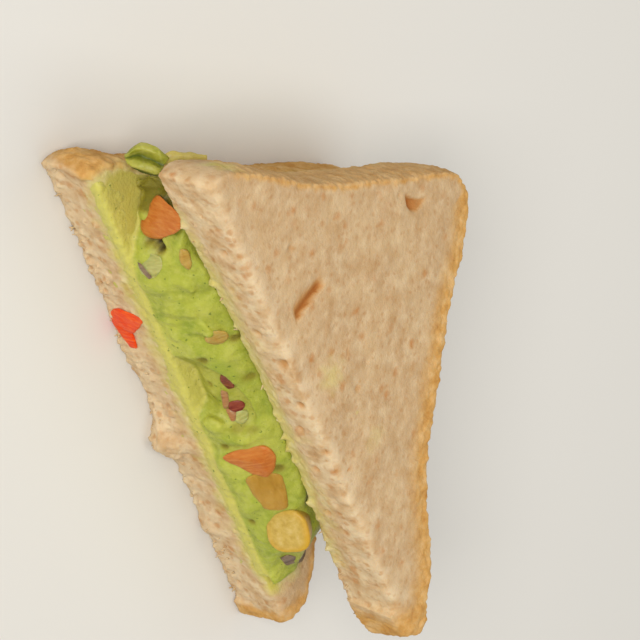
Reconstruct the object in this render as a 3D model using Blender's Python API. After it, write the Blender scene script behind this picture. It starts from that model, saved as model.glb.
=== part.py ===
"""Half of a guacamole sandwich, cut from corner to corner and lying flat on its lower slice.

Two triangular slices of light wholemeal toast bread hold a wedge of guacamole with diced tomato,
red onion, a corn kernel and lettuce. The upper slice has slid back from the cut and leans down
towards the crusts, so the filling shows as a sloping band along the cut.

Frame: metres, +Z up. The cut face looks along -Y and runs along X, the two crusts meet at +Y, and
the origin is the middle of the base. Run it with blender --background --python part.py.
"""

import math
from functools import partial

import bmesh
import bpy
from mathutils import Euler, Matrix, Vector, noise

MM = 0.001
TINY = 1e-6                  # tolerance on the edges of a unit block

# Driving dimensions of the bread
CRUST_SHORT = 88 * MM        # crust from the square corner to the -X tip
CRUST_LONG = 100 * MM        # crust from the square corner to the +X tip
BREAD = 13.3 * MM            # thickness of a slice
LOAF_CORNER = 7.5 * MM       # radius of the loaf's rounded corners
WAIST = (1.5 * MM, 2.3 * MM)         # how far the short and the long crust dip in at the middle
TIP_FLARE = (1.0 * MM, 4.3 * MM)     # how far they swell out next to the tips
CORNER_FLARE = (0.3 * MM, 2.9 * MM)  # how far they swell out next to the square corner
TIP_SWELL = (0.4 * MM, 2.2 * MM)     # how far the rounded tips reach past the ends of the cut
TIP_REACH = (0.04, 0.19)     # middle and width of the swelling by a tip, as shares of the crust
CORNER_REACH = (0.92, 0.13)  # the same by the square corner
RIM_ROUND = 0.013            # how far the crust draws in at the faces of a slice, as a share
CRUST_ROUGH = 0.007          # unevenness of the crusts' outline, as a share

# How the upper slice lies on the filling
GAP = 14.0 * MM              # clear height between the slices at the cut
SET_BACK = 5.8 * MM          # how far the upper slice has slid back from the cut
TILT = math.radians(5.2)     # lean of the upper slice down towards the crusts
TURN = math.radians(1.9)     # turn of the upper slice about the vertical
DROOP = 2.0 * MM             # sag of the upper slice at its square corner
SQUEEZE = 3.0 * MM           # how far the filling has pushed back the upper slice's lower cut edge
SQUEEZE_REACH = (-8 * MM, 42 * MM)   # middle and width of that push, along the cut

# The filling
CLEARANCE = 0.35 * MM        # gap kept between neighbouring pieces
LEAF_ROOM = 2.5 * MM         # space left over the filling for the lettuce near the crusts
FILLING_LEFT = -56.0 * MM    # ends of the filling along the cut
FILLING_RIGHT = 51.5 * MM
FILLING_INSET = 5.6 * MM     # how far the filling stays in from the lower slice's crusts
FILLING_THIN = 3.5 * MM      # depth of the filling at its pointed ends
STEP = 0.6 * MM              # bare bread in front of the filling
LEFT_STEP = 1.6 * MM         # how much more of it is bare at the left tip
BULGE = 1.9 * MM             # how far the filling swells out below half its height
CLOSING_FROM = 34 * MM       # from here to its right end the filling's rear edge closes in
FALLING_FROM = 37 * MM       # from here to its right end its top falls away

# Outline of a slice, in its own plan: X along the cut, Y from the cut to the square corner
CUT_FULL = math.hypot(CRUST_SHORT, CRUST_LONG)
CORNER_X = CRUST_SHORT ** 2 / CUT_FULL - CUT_FULL / 2
CORNER_Y = CRUST_SHORT * CRUST_LONG / CUT_FULL
ANGLE_SHORT = math.atan2(CRUST_LONG, CRUST_SHORT)
ANGLE_LONG = math.atan2(CRUST_SHORT, CRUST_LONG)


def mix(a, b, t):
    return a + (b - a) * t


def smooth(low, high, value):
    """0 below low, 1 above high, and a soft step between them."""
    t = min(max((value - low) / (high - low), 0.0), 1.0)
    return t * t * (3 - 2 * t)


def hill(value, centre, width):
    return math.exp(-((value - centre) / width) ** 2)


def rough(x, y, z, size, seed=0.0):
    """Seeded noise between about -1 and 1, with lumps of the given size."""
    return noise.noise(Vector((x / size, y / size, z / size + seed)))


# ---------------------------------------------------------------------------
# Plan of a slice
# ---------------------------------------------------------------------------

def crust_offset(side, share):
    """How far a crust stands out from a straight line, at a share of its way to the corner."""
    pick = 0 if side < 0 else 1
    dip = WAIST[pick] * math.sin(math.pi * share) ** 2
    by_tip = TIP_FLARE[pick] * hill(share, *TIP_REACH)
    by_corner = CORNER_FLARE[pick] * hill(share, *CORNER_REACH)
    return by_tip + by_corner - dip


def tip_arc(side, t):
    """The loaf's rounded corner at a tip, from the cut (t = 0) to the straight crust (t = 1)."""
    angle = ANGLE_SHORT if side < 0 else ANGLE_LONG
    along = Vector((math.cos(angle), math.sin(angle)))
    across = Vector((math.sin(angle), -math.cos(angle)))
    centre = Vector((-CUT_FULL / 2, 0)) + LOAF_CORNER * (along + across)
    start = math.pi + math.asin(centre.y / LOAF_CORNER)
    turn = mix(start, math.pi / 2 + angle, t)
    point = centre + LOAF_CORNER * Vector((math.cos(turn), math.sin(turn)))
    swell = TIP_SWELL[0 if side < 0 else 1] * math.sin(math.pi * t)
    flare = crust_offset(side, 0) / math.cos(angle) * smooth(0, 1, t)
    return Vector((-side * (point.x - swell), point.y + flare))


def crust_y(x):
    """Where the crust lies behind a point of the cut: two waisted sides and a rounded corner."""
    centre = Vector((CORNER_X, CORNER_Y)) - LOAF_CORNER * Vector((
        math.cos(ANGLE_SHORT) - math.cos(ANGLE_LONG),
        math.sin(ANGLE_SHORT) + math.sin(ANGLE_LONG)))
    arc_left = centre.x - LOAF_CORNER * math.sin(ANGLE_SHORT)
    arc_right = centre.x + LOAF_CORNER * math.sin(ANGLE_LONG)
    if arc_left < x < arc_right:
        left = crust_offset(-1, 1) / math.cos(ANGLE_SHORT)
        right = crust_offset(1, 1) / math.cos(ANGLE_LONG)
        flare = mix(left, right, (x - arc_left) / (arc_right - arc_left))
        return centre.y + math.sqrt(LOAF_CORNER ** 2 - (x - centre.x) ** 2) + flare
    if x <= arc_left:
        side, arc, angle = -1, arc_left, ANGLE_SHORT
    else:
        side, arc, angle = 1, arc_right, ANGLE_LONG
    tip_x = tip_arc(side, 1.0).x
    share = min(max((x - tip_x) / (arc - tip_x), 0.0), 1.0)
    straight = (CUT_FULL / 2 - side * x) * math.tan(angle)
    return straight + crust_offset(side, share) / math.cos(angle)


def plan_point(u, v):
    """A point of the slice: u runs along the cut and v from the cut to the crusts."""
    left, right = tip_arc(-1, v), tip_arc(1, v)
    left_low, right_low = tip_arc(-1, 0.0), tip_arc(1, 0.0)
    left_high, right_high = tip_arc(-1, 1.0), tip_arc(1, 1.0)
    cut = left_low.lerp(right_low, u)
    crust_x = mix(left_high.x, right_high.x, u)
    crust = Vector((crust_x, crust_y(crust_x)))
    corners = (left_low.lerp(right_low, u)).lerp(left_high.lerp(right_high, u), v)
    return cut.lerp(crust, v) + left.lerp(right, u) - corners


# ---------------------------------------------------------------------------
# Where the upper slice lies
# ---------------------------------------------------------------------------

LID_PLACE = Matrix.LocRotScale(
    Vector((0, SET_BACK, BREAD + GAP)), Euler((-TILT, 0, TURN), "XYZ"), Vector((1, 1, 1)))
LID_INVERSE = LID_PLACE.inverted()


def lid_sag(y):
    """Drop of the upper slice's faces at a distance y behind its own cut."""
    return DROOP * (max(y, 0.0) / CORNER_Y) ** 2


def squeeze(x):
    """How far back the filling has pushed the upper slice's lower cut edge at a place along it."""
    return SQUEEZE * hill(x, *SQUEEZE_REACH)


def lid_underside(x, y):
    """Height of the upper slice's lower face over a point of the base."""
    z = BREAD + GAP
    for _ in range(4):
        local = LID_INVERSE @ Vector((x, y, z))
        z -= local.z + lid_sag(local.y)
    return z


# ---------------------------------------------------------------------------
# Objects
# ---------------------------------------------------------------------------

def clear_scene():
    for obj in list(bpy.data.objects):
        bpy.data.objects.remove(obj, do_unlink=True)


def material(name, hex_colour, roughness):
    """A plain food material; hex_colour is an sRGB value such as 0xC8A980."""
    found = bpy.data.materials.get(name)
    if found:
        return found
    channels = [((hex_colour >> shift) & 255) / 255 for shift in (16, 8, 0)]
    linear = [c / 12.92 if c <= 0.04045 else ((c + 0.055) / 1.055) ** 2.4 for c in channels]
    made = bpy.data.materials.new(name)
    made.use_nodes = True
    shader = made.node_tree.nodes["Principled BSDF"]
    shader.inputs["Base Color"].default_value = (*linear, 1)
    shader.inputs["Roughness"].default_value = roughness
    shader.inputs["Metallic"].default_value = 0
    made.diffuse_color = (*linear, 1)
    return made


def add_object(name, bm, finish, parent, sharp_degrees=50):
    mesh = bpy.data.meshes.new(name)
    bmesh.ops.recalc_face_normals(bm, faces=bm.faces)
    bmesh.ops.triangulate(bm, faces=bm.faces)
    bm.to_mesh(mesh)
    bm.free()
    mesh.shade_smooth()
    mesh.set_sharp_from_angle(angle=math.radians(sharp_degrees))
    mesh.materials.append(finish)
    obj = bpy.data.objects.new(name, mesh)
    obj.parent = parent
    bpy.context.scene.collection.objects.link(obj)
    return obj


def add_empty(name, parent=None):
    empty = bpy.data.objects.new(name, None)
    empty.parent = parent
    bpy.context.scene.collection.objects.link(empty)
    return empty


def cut_with(obj, cutters, name):
    """Cut holes in obj with a live Boolean on a collection of hidden cutters."""
    group = bpy.data.collections.new(name)
    bpy.context.scene.collection.children.link(group)
    for cutter in cutters:
        bpy.context.scene.collection.objects.unlink(cutter)
        group.objects.link(cutter)
        cutter.hide_render = True
        cutter.display_type = "WIRE"
    boolean = obj.modifiers.new(name, "BOOLEAN")
    boolean.operation = "DIFFERENCE"
    boolean.operand_type = "COLLECTION"
    boolean.collection = group
    boolean.solver = "MANIFOLD"   # EXACT leaves open edges on these dense curved blocks


def unit_block(columns, rows, layers):
    """A closed block from 0 to 1 each way, with a grid on its two faces and on its walls."""
    bm = bmesh.new()
    bmesh.ops.create_grid(bm, x_segments=columns, y_segments=rows, size=0.5)
    bmesh.ops.translate(bm, verts=bm.verts, vec=(0.5, 0.5, 0))
    raised = bmesh.ops.extrude_face_region(bm, geom=bm.faces[:], use_keep_orig=True)
    top = [part for part in raised["geom"] if isinstance(part, bmesh.types.BMVert)]
    bmesh.ops.translate(bm, verts=top, vec=(0, 0, 1))
    uprights = [e for e in bm.edges if abs(e.verts[0].co.z - e.verts[1].co.z) > 0.5]
    bmesh.ops.subdivide_edges(bm, edges=uprights, cuts=layers - 1, use_grid_fill=True)
    return bm


# ---------------------------------------------------------------------------
# Bread
# ---------------------------------------------------------------------------

SLICE_GRID = (44, 13, 4)     # columns, rows and layers of a slice's mesh
CUT_ROUGH = 0.55 * MM        # unevenness of the torn crumb along the cut, and the size of its lumps
CUT_LUMP = 3.5 * MM
FACE_ROUGH = 0.35 * MM       # the same on the outer face
FACE_LUMP = 14 * MM
CRUST_LUMP = 12 * MM         # size of the unevenness of the crusts
SQUEEZED_SHARE = 0.55        # share of the slice's thickness that the filling has pushed back
CRUMB_FLAPS = (              # crumb torn out of the lower slice: place along the cut, reach, width
    (10.0 * MM, 6.4 * MM, 4.6 * MM),
    (-14.0 * MM, 1.4 * MM, 4.5 * MM),
    (37.0 * MM, 1.8 * MM, 2.6 * MM),
)
FLAP_MIDDLE = (2.6 * MM, 3.0 * MM)   # height of a flap's middle over the base, and its width
CREASE = (-24.1 * MM, 11.5 * MM)     # place of the open crease in the outer face
CREASE_SIZE = (1.1 * MM, 5.6 * MM, 6.0 * MM)
CREASE_TURN = math.radians(-4)
PIT = (-15.1 * MM, 47.8 * MM)        # place of an open bubble of the loaf near the square corner
PIT_SIZE = (2.5 * MM, 1.4 * MM, 1.6 * MM)
PIT_TURN = math.radians(38)
CRUMB_COLOUR = 0xC8A980


def shape_slice(bm, seed, is_lid):
    """Turn a unit block into a slice: flat inside, waisted crusts and a rough cut."""
    for vert in bm.verts:
        u, v, w = vert.co
        flat = plan_point(u, v)
        uneven = CRUST_ROUGH * rough(flat.x, flat.y, w * BREAD, CRUST_LUMP, seed)
        flat *= 1 + uneven - RIM_ROUND * (2 * w - 1) ** 4
        on_cut = v < TINY
        if on_cut:
            flat.y += CUT_ROUGH * rough(flat.x, 0, w * BREAD, CUT_LUMP, seed)
            if is_lid:
                flat.y += squeeze(flat.x) * smooth(SQUEEZED_SHARE, 0, w)
            else:
                lift = hill(w * BREAD, *FLAP_MIDDLE)
                flat.y -= sum(out * lift * hill(flat.x, at, wide) for at, out, wide in CRUMB_FLAPS)
        height = w * BREAD
        if is_lid:
            if w > 1 - TINY:
                height += FACE_ROUGH * rough(flat.x, flat.y, 0, FACE_LUMP, seed)
            height -= lid_sag(flat.y)
        vert.co = (flat.x, flat.y, height)


def crease_cutter(parent, crumb):
    """The short open crease in the upper slice's outer face, narrower at its bottom."""
    bm = bmesh.new()
    bmesh.ops.create_cone(bm, cap_ends=True, segments=16, radius1=1.0, radius2=1.0, depth=1.0)
    bmesh.ops.scale(bm, verts=bm.verts, vec=CREASE_SIZE)
    low = [v for v in bm.verts if v.co.z < 0]
    bmesh.ops.scale(bm, verts=low, vec=(0.35, 0.55, 1))
    bmesh.ops.transform(bm, verts=bm.verts, matrix=Matrix.Rotation(CREASE_TURN, 4, "Z"))
    bmesh.ops.translate(bm, verts=bm.verts, vec=(*CREASE, BREAD))
    return add_object("crease_cutter", bm, crumb, parent)


def pit_cutter(parent, crumb):
    bm = bmesh.new()
    bmesh.ops.create_icosphere(bm, subdivisions=2, radius=1.0)
    bmesh.ops.scale(bm, verts=bm.verts, vec=PIT_SIZE)
    bmesh.ops.transform(bm, verts=bm.verts, matrix=Matrix.Rotation(PIT_TURN, 4, "Z"))
    bmesh.ops.translate(bm, verts=bm.verts, vec=(*PIT, BREAD - lid_sag(PIT[1])))
    return add_object("pit_cutter", bm, crumb, parent)


def build_bread(root, lid_frame):
    crumb = material("wholemeal_crumb", CRUMB_COLOUR, 0.9)
    bm = unit_block(*SLICE_GRID)
    shape_slice(bm, seed=3.7, is_lid=False)
    add_object("bottom_bread", bm, crumb, root)
    bm = unit_block(*SLICE_GRID)
    shape_slice(bm, seed=11.2, is_lid=True)
    lid = add_object("top_bread", bm, crumb, lid_frame)
    holes = [crease_cutter(lid_frame, crumb), pit_cutter(lid_frame, crumb)]
    cut_with(lid, holes, "holes_in_the_face")


# ---------------------------------------------------------------------------
# Guacamole
# ---------------------------------------------------------------------------

FILLING_GRID = (54, 7, 6)    # columns, rows and layers of the filling's mesh
LUMP = 1.0 * MM              # height of the filling's lumps on its open front, and their size
LUMP_SIZE = 4.5 * MM
BACK_ROUGH = 1.2 * MM        # unevenness of its rear edge, and the size of its lobes
BACK_LOBE = 11 * MM
END_BULGE = 0.8 * MM         # how far its two ends swell out at half their height
HOLLOW = (-43.0 * MM, 0.47)  # place along the cut and share of the height of a hollow in the front
HOLLOW_RADIUS = 3.2 * MM
HOLLOW_DEPTH = 3.4 * MM


def filling_base(x):
    """Front edge of the filling on the lower slice; more bread is bare at the left tip."""
    return STEP + LEFT_STEP * smooth(-40 * MM, FILLING_LEFT, x)


def filling_front(x, share):
    """Y of the filling's open front at a share of its height, before its lumps."""
    lid_edge = SET_BACK + x * math.tan(TURN) + squeeze(x)
    return mix(filling_base(x), lid_edge, share) - BULGE * math.sin(math.pi * share ** 0.7)


def filling_back(x):
    """Rear edge of the filling, which closes to a point at its right end."""
    behind = crust_y(x) - FILLING_INSET - BACK_ROUGH * rough(x, 0, 0, BACK_LOBE, 5.5)
    done = max((x - CLOSING_FROM) / (FILLING_RIGHT - CLOSING_FROM), 0)
    closing = math.sqrt(max(1 - done ** 2, 0))
    return max(mix(filling_base(x), behind, closing), filling_front(x, 0.5) + FILLING_THIN)


def filling_top(x, y):
    """Top of the filling: it fills the space under the upper slice and falls away at its ends."""
    roof = lid_underside(x, y) - CLEARANCE
    roof -= LEAF_ROOM * smooth(30 * MM, 25 * MM, crust_y(x) + SET_BACK - y)
    fall = 0.8 * smooth(FALLING_FROM, FILLING_RIGHT, x) + 0.45 * smooth(-50 * MM, FILLING_LEFT, x)
    return mix(roof, BREAD + CLEARANCE, fall)


def shape_filling(bm):
    for vert in bm.verts:
        u, v, w = vert.co
        swell = math.sin(math.pi * w)
        x = mix(FILLING_LEFT, FILLING_RIGHT, u)
        if u < TINY or u > 1 - TINY:
            x += END_BULGE * swell * (2 * u - 1)
        y = mix(filling_front(x, w), filling_back(x) + BULGE * swell, v)
        z = mix(BREAD + CLEARANCE, filling_top(x, y), w)
        if v < TINY and TINY < w < 1 - TINY:
            along, share = HOLLOW
            distance = math.hypot(x - along, (w - share) * GAP)
            y += LUMP * rough(x + 0.7 * z, 0, z - 0.3 * x, LUMP_SIZE, 8.0)
            y += HOLLOW_DEPTH * hill(distance, 0, HOLLOW_RADIUS)
        vert.co = (x, y, z)


# ---------------------------------------------------------------------------
# Diced vegetables in the filling
# ---------------------------------------------------------------------------

class Dice:
    """One diced piece: its size, where it sits in the filling's front, and how it is turned.

    round_power is 2 for an egg and rises towards a box; taper narrows its lower end to a share."""

    def __init__(self, name, size_mm, along_mm, share, depth_mm, turn_deg, round_power, taper=1.0):
        self.name = name
        self.size = Vector(size_mm) * MM
        self.along = along_mm * MM
        self.share = share
        self.depth = depth_mm * MM
        self.turn = Euler([math.radians(angle) for angle in turn_deg])
        self.round_power = round_power
        self.taper = taper

    def place(self):
        """Middle of the piece: on the sloping front of the filling, sunk by its depth."""
        y = mix(0, SET_BACK, self.share) + self.depth
        return Vector((self.along, y, BREAD + GAP * self.share))


DICE = (
    Dice("tomato_upper", (8.6, 6.6, 7.6), -50.0, 0.62, 1.6, (12, 25, -14), 4.0),
    Dice("tomato_bit", (4.8, 4.0, 3.6), -20.3, 0.78, 1.6, (0, 30, 20), 3.0),
    Dice("tomato_wedge", (6.2, 5.6, 12.4), 12.2, 0.44, 1.0, (20, 34, 0), 3.4, 0.35),
    Dice("tomato_cube", (7.4, 6.2, 7.8), 23.0, 0.51, 2.0, (10, -12, 8), 4.5),
    Dice("corn_kernel", (9.4, 5.8, 8.8), 33.6, 0.60, 1.4, (-6, 10, 4), 2.6),
    Dice("onion_left", (5.6, 2.6, 5.0), -37.8, 0.22, 0.8, (18, 30, 10), 3.0),
    Dice("onion_middle", (6.4, 2.8, 5.4), -1.8, 0.58, 1.3, (20, 30, -6), 3.0),
    Dice("onion_chip", (2.8, 2.4, 4.4), -9.0, 0.56, 1.0, (16, 20, 6), 3.0),
    Dice("onion_right", (4.8, 2.8, 5.2), 43.4, 0.38, 2.2, (14, 16, 12), 3.0),
)
LOOSE_TOMATO = Dice("tomato_loose", (9.6, 3.0, 8.6), -21.2, 0, -2.1, (8, 30, -4), 4.0, 0.3)
LOOSE_HEIGHT = 5.4 * MM      # height of the loose tomato on the lower slice's cut face
DICE_CUTS = 3
DICE_ROUGH = 0.05            # unevenness of a diced piece, as a share of its size


def dice_mesh(dice, swell=0.0):
    """A rounded block with soft edges; swell makes it larger all round, for its pocket."""
    bm = bmesh.new()
    bmesh.ops.create_cube(bm, size=2.0)
    bmesh.ops.subdivide_edges(bm, edges=bm.edges[:], cuts=DICE_CUTS, use_grid_fill=True)
    power = dice.round_power
    for vert in bm.verts:
        reach = sum(abs(c) ** power for c in vert.co) ** (1 / power)
        lump = 1 + DICE_ROUGH * rough(*vert.co, 0.9, dice.along / MM)
        vert.co = vert.co / reach * lump
        vert.co.x *= mix(dice.taper, 1, vert.co.z / 2 + 0.5)
        half = [axis / 2 + swell for axis in dice.size]
        vert.co = Vector((vert.co.x * half[0], vert.co.y * half[1], vert.co.z * half[2]))
    bmesh.ops.transform(bm, verts=bm.verts, matrix=dice.turn.to_matrix().to_4x4())
    return bm


def add_dice(dice, finish, parent, middle, swell=0.0):
    bm = dice_mesh(dice, swell)
    bmesh.ops.translate(bm, verts=bm.verts, vec=middle)
    name = dice.name + "_pocket" if swell else dice.name
    return add_object(name, bm, finish, parent)


def build_filling(root):
    guacamole = material("guacamole", 0xAAB349, 0.45)
    colours = {
        "tomato": material("tomato_flesh", 0xD0703A, 0.3),
        "corn": material("sweetcorn", 0xD8B860, 0.35),
        "onion": material("onion", 0xB0806C, 0.35),
    }
    bm = unit_block(*FILLING_GRID)
    shape_filling(bm)
    filling = add_object("guacamole", bm, guacamole, root)
    pockets = []
    for dice in DICE:
        finish = colours[dice.name.split("_")[0]]
        add_dice(dice, finish, root, dice.place())
        pockets.append(add_dice(dice, finish, root, dice.place(), CLEARANCE))
    cut_with(filling, pockets, "pockets_for_the_dice")
    loose_at = Vector((LOOSE_TOMATO.along, LOOSE_TOMATO.depth, LOOSE_HEIGHT))
    add_dice(LOOSE_TOMATO, colours["tomato"], root, loose_at)


# ---------------------------------------------------------------------------
# Lettuce, which lies under the upper slice and shows its frill past the crusts
# ---------------------------------------------------------------------------

LEAF = 0.6 * MM
LEAF_STEP = 1.1 * MM         # spacing of a leaf's mesh along the crust
FRILL_WAVE = 9.5 * MM        # length of one wave of the frill
LONG_WAVE = 2.3              # length of the wave of the leaf's edge, in waves of the frill
EDGE_WAVE = 1.4 * MM         # height of the wave of the edge, seen from above
SWAY = 0.8 * MM              # how far the frill leans along the crust
END_SHARE = 0.12             # share of the leaf over which either end is rounded off
END_ROUND = 3 * MM           # how far the edge draws in at either end


class Leaf:
    """A strip of leaf along one crust: its ends along X, how far it goes in under the slice, how
    far out past the crust it comes at either end, and its hang."""

    def __init__(self, name, ends_mm, inside_mm, reach_mm, hang_mm, phase):
        self.name = name
        self.start, self.end = [end * MM for end in ends_mm]
        self.inside = inside_mm * MM
        self.reach = [out * MM for out in reach_mm]
        self.hang = hang_mm * MM
        self.phase = phase


LEAVES = (
    Leaf("lettuce_left", (-56.5, -30.0), 9.0, (-0.5, -4.0), 1.0, 0.4),
    Leaf("lettuce_right", (6.0, 42.0), 12.0, (2.8, 3.2), 1.8, 2.3),
)


def leaf_point(leaf, u, v):
    """A point of the leaf in the upper slice's frame; u runs along the crust and v outwards."""
    x = mix(leaf.start, leaf.end, u)
    step = 0.5 * MM
    slope = (crust_y(x + step) - crust_y(x - step)) / (2 * step)
    outward = Vector((-slope, 1)).normalized()
    run = (x - leaf.start) / abs(outward.y)
    wave = math.sin(2 * math.pi * run / FRILL_WAVE + leaf.phase)
    long_wave = math.sin(2 * math.pi * run / (LONG_WAVE * FRILL_WAVE) + leaf.phase)
    edge = mix(*leaf.reach, u) + EDGE_WAVE * (long_wave - 1)
    edge -= END_ROUND * (1 - smooth(0, END_SHARE, u) * smooth(1, 1 - END_SHARE, u))
    out = mix(-leaf.inside, edge, v)
    freedom = smooth(0.5, 1.0, v)
    plan = Vector((x, crust_y(x))) + outward * out
    plan.x += SWAY * freedom * math.cos(2 * math.pi * run / FRILL_WAVE + leaf.phase)
    z = -CLEARANCE - LEAF / 2 - lid_sag(plan.y) - leaf.hang * freedom * (1 + wave)
    return Vector((plan.x, plan.y, z))


CURL_MIDDLE = Vector((-59.0, 8.4, 19.6)) * MM
CURL_ACROSS = Vector((0.32, 0.64, 0.70)) * 3.8 * MM      # half the width of the fold
CURL_RISE = Vector((-0.73, 0.64, -0.25)) * 4.2 * MM      # how far the fold stands out of the gap
CURL_INWARD = Vector((0.62, 0.76, -0.20)) * 5.5 * MM     # from the fold's open end into the gap


def curl_point(u, v):
    """A fold of leaf at the -X tip, arched across the gap; u runs round the arch and v inwards."""
    turn = math.radians(mix(-25, 205, u))
    ripple = 1 + 0.10 * math.sin(9 * u + 2)
    arch = CURL_ACROSS * math.cos(turn) + CURL_RISE * math.sin(turn) * ripple
    return CURL_MIDDLE + arch * mix(1.0, 0.8, v) + CURL_INWARD * v


def add_leaf(name, columns, rows, point, finish, parent):
    """A thin leaf through the points that a rule gives, with both faces split alike."""
    bm = bmesh.new()
    bmesh.ops.create_grid(bm, x_segments=columns, y_segments=rows, size=0.5)
    for vert in bm.verts:
        vert.co = point(vert.co.x + 0.5, vert.co.y + 0.5)
    bmesh.ops.triangulate(bm, faces=bm.faces)
    bmesh.ops.recalc_face_normals(bm, faces=bm.faces)
    bmesh.ops.solidify(bm, geom=bm.faces[:], thickness=LEAF)
    return add_object(name, bm, finish, parent)


def build_lettuce(root, lid_frame):
    green = material("lettuce", 0x7F9A3A, 0.4)
    add_leaf("lettuce_curl", 14, 4, curl_point, green, root)
    for leaf in LEAVES:
        columns = round((leaf.end - leaf.start) / LEAF_STEP)
        add_leaf(leaf.name, columns, 6, partial(leaf_point, leaf), green, lid_frame)


# ---------------------------------------------------------------------------
# Whole
# ---------------------------------------------------------------------------

def centre_on_base(root):
    """Move the whole so that the origin is the middle of its base."""
    bpy.context.view_layer.update()
    corners = []
    for obj in bpy.data.objects:
        if obj.type == "MESH" and not obj.hide_render:
            corners += [obj.matrix_world @ vert.co for vert in obj.data.vertices]
    low = Vector([min(c[axis] for c in corners) for axis in range(3)])
    high = Vector([max(c[axis] for c in corners) for axis in range(3)])
    root.location = Vector((-(low.x + high.x) / 2, -(low.y + high.y) / 2, -low.z))


def main():
    clear_scene()
    root = add_empty("sandwich")
    lid_frame = add_empty("upper_slice_frame", root)
    lid_frame.matrix_local = LID_PLACE
    build_bread(root, lid_frame)
    build_filling(root)
    build_lettuce(root, lid_frame)
    centre_on_base(root)


main()
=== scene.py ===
"""The look of half a guacamole sandwich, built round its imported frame.

Each operator builds one group of pieces: the two slices, the guacamole, the diced vegetables, the
lettuce, the crumbs and the stage. Lengths in the functions are millimetres, and mesh points are
metres in the frame's own axes: X along the cut, the cut face towards -Y, +Z up.
"""

import math
import random

import bmesh
import bpy
import numpy as np
from bpy.props import FloatProperty, FloatVectorProperty, IntProperty, PointerProperty
from mathutils import Euler, Matrix, Vector, noise
from mathutils.bvhtree import BVHTree


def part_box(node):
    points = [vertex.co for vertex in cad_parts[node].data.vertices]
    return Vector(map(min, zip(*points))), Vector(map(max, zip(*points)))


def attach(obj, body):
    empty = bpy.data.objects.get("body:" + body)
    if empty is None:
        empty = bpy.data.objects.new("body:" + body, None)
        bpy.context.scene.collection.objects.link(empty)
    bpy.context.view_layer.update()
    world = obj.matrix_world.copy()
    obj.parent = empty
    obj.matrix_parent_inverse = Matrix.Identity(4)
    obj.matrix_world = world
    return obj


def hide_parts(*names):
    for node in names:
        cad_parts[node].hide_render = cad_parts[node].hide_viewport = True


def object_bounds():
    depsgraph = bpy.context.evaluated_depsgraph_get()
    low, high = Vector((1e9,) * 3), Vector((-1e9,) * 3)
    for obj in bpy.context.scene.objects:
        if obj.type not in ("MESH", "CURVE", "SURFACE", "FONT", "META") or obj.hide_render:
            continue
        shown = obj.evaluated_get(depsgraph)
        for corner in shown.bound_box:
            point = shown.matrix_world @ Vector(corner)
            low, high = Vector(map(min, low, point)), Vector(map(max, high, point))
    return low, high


bl_info = {
    "name": "Guacamole sandwich half",
    "version": (1, 0, 0),
    "blender": (4, 5, 0),
    "location": "View3D > Sidebar > Sandwich",
    "description": "Builds the bread, guacamole, diced vegetables and lettuce of a sandwich",
    "category": "Add Mesh",
}

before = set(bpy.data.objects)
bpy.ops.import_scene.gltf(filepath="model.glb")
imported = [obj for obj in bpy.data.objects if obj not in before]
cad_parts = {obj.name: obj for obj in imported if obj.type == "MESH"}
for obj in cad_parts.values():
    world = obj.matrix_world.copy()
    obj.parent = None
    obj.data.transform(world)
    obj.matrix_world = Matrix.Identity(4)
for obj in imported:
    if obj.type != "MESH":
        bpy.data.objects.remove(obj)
CAD_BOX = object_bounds()
MM = 0.001
NOISE_SEED = 1795407210
noise.seed_set(NOISE_SEED)      # without a seed, vector noise differs from run to run


# ---- Small helpers ---------------------------

def linear(hex_colour):
    """An sRGB hex colour such as "#cfae7e" as linear red, green, blue and alpha."""
    channels = [int(hex_colour[i:i + 2], 16) / 255 for i in (1, 3, 5)]
    return (*[c / 12.92 if c <= 0.04045 else ((c + 0.055) / 1.055) ** 2.4 for c in channels], 1)


def mix(a, b, t):
    return a + (b - a) * t


def smooth(low, high, value):
    """0 at low, 1 at high, and a soft step between them."""
    t = min(max((value - low) / (high - low), 0), 1)
    return t * t * (3 - 2 * t)


def hill(value, middle, width):
    return math.exp(-((value - middle) / width) ** 2)


def along(share, node="bottom_bread"):
    """X in mm at a share of a node's length, from its -X end."""
    low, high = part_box(node)
    return mix(low.x, high.x, share) / MM


def new_object(name, bm, material, node=None):
    """Finish a piece from a bmesh in metres; it can take the place of a CAD node."""
    mesh = bpy.data.meshes.new(name)
    bm.to_mesh(mesh)
    bm.free()
    obj = bpy.data.objects.new(name, mesh)
    bpy.context.scene.collection.objects.link(obj)
    mesh.materials.append(material)
    mesh.shade_smooth()
    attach(obj, "root")
    if node:
        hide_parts(node)


def node_copy(node):
    """A bmesh of a CAD node with its loose triangles merged."""
    bm = bmesh.new()
    bm.from_mesh(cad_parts[node].data)
    bmesh.ops.remove_doubles(bm, verts=bm.verts, dist=0.002 * MM)
    return bm


def tree_of(bm, keep):
    """A search tree of the faces of bm that keep() accepts."""
    part = bm.copy()
    part.normal_update()
    gone = [face for face in part.faces if not keep(face)]
    bmesh.ops.delete(part, geom=gone, context="FACES")
    tree = BVHTree.FromBMesh(part)
    part.free()
    return tree


def soften(bm, verts, factor=0.5, rounds=1):
    for _ in range(rounds):
        bmesh.ops.smooth_vert(bm, verts=verts, factor=factor, use_axis_x=True, use_axis_y=True,
                              use_axis_z=True)


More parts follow.
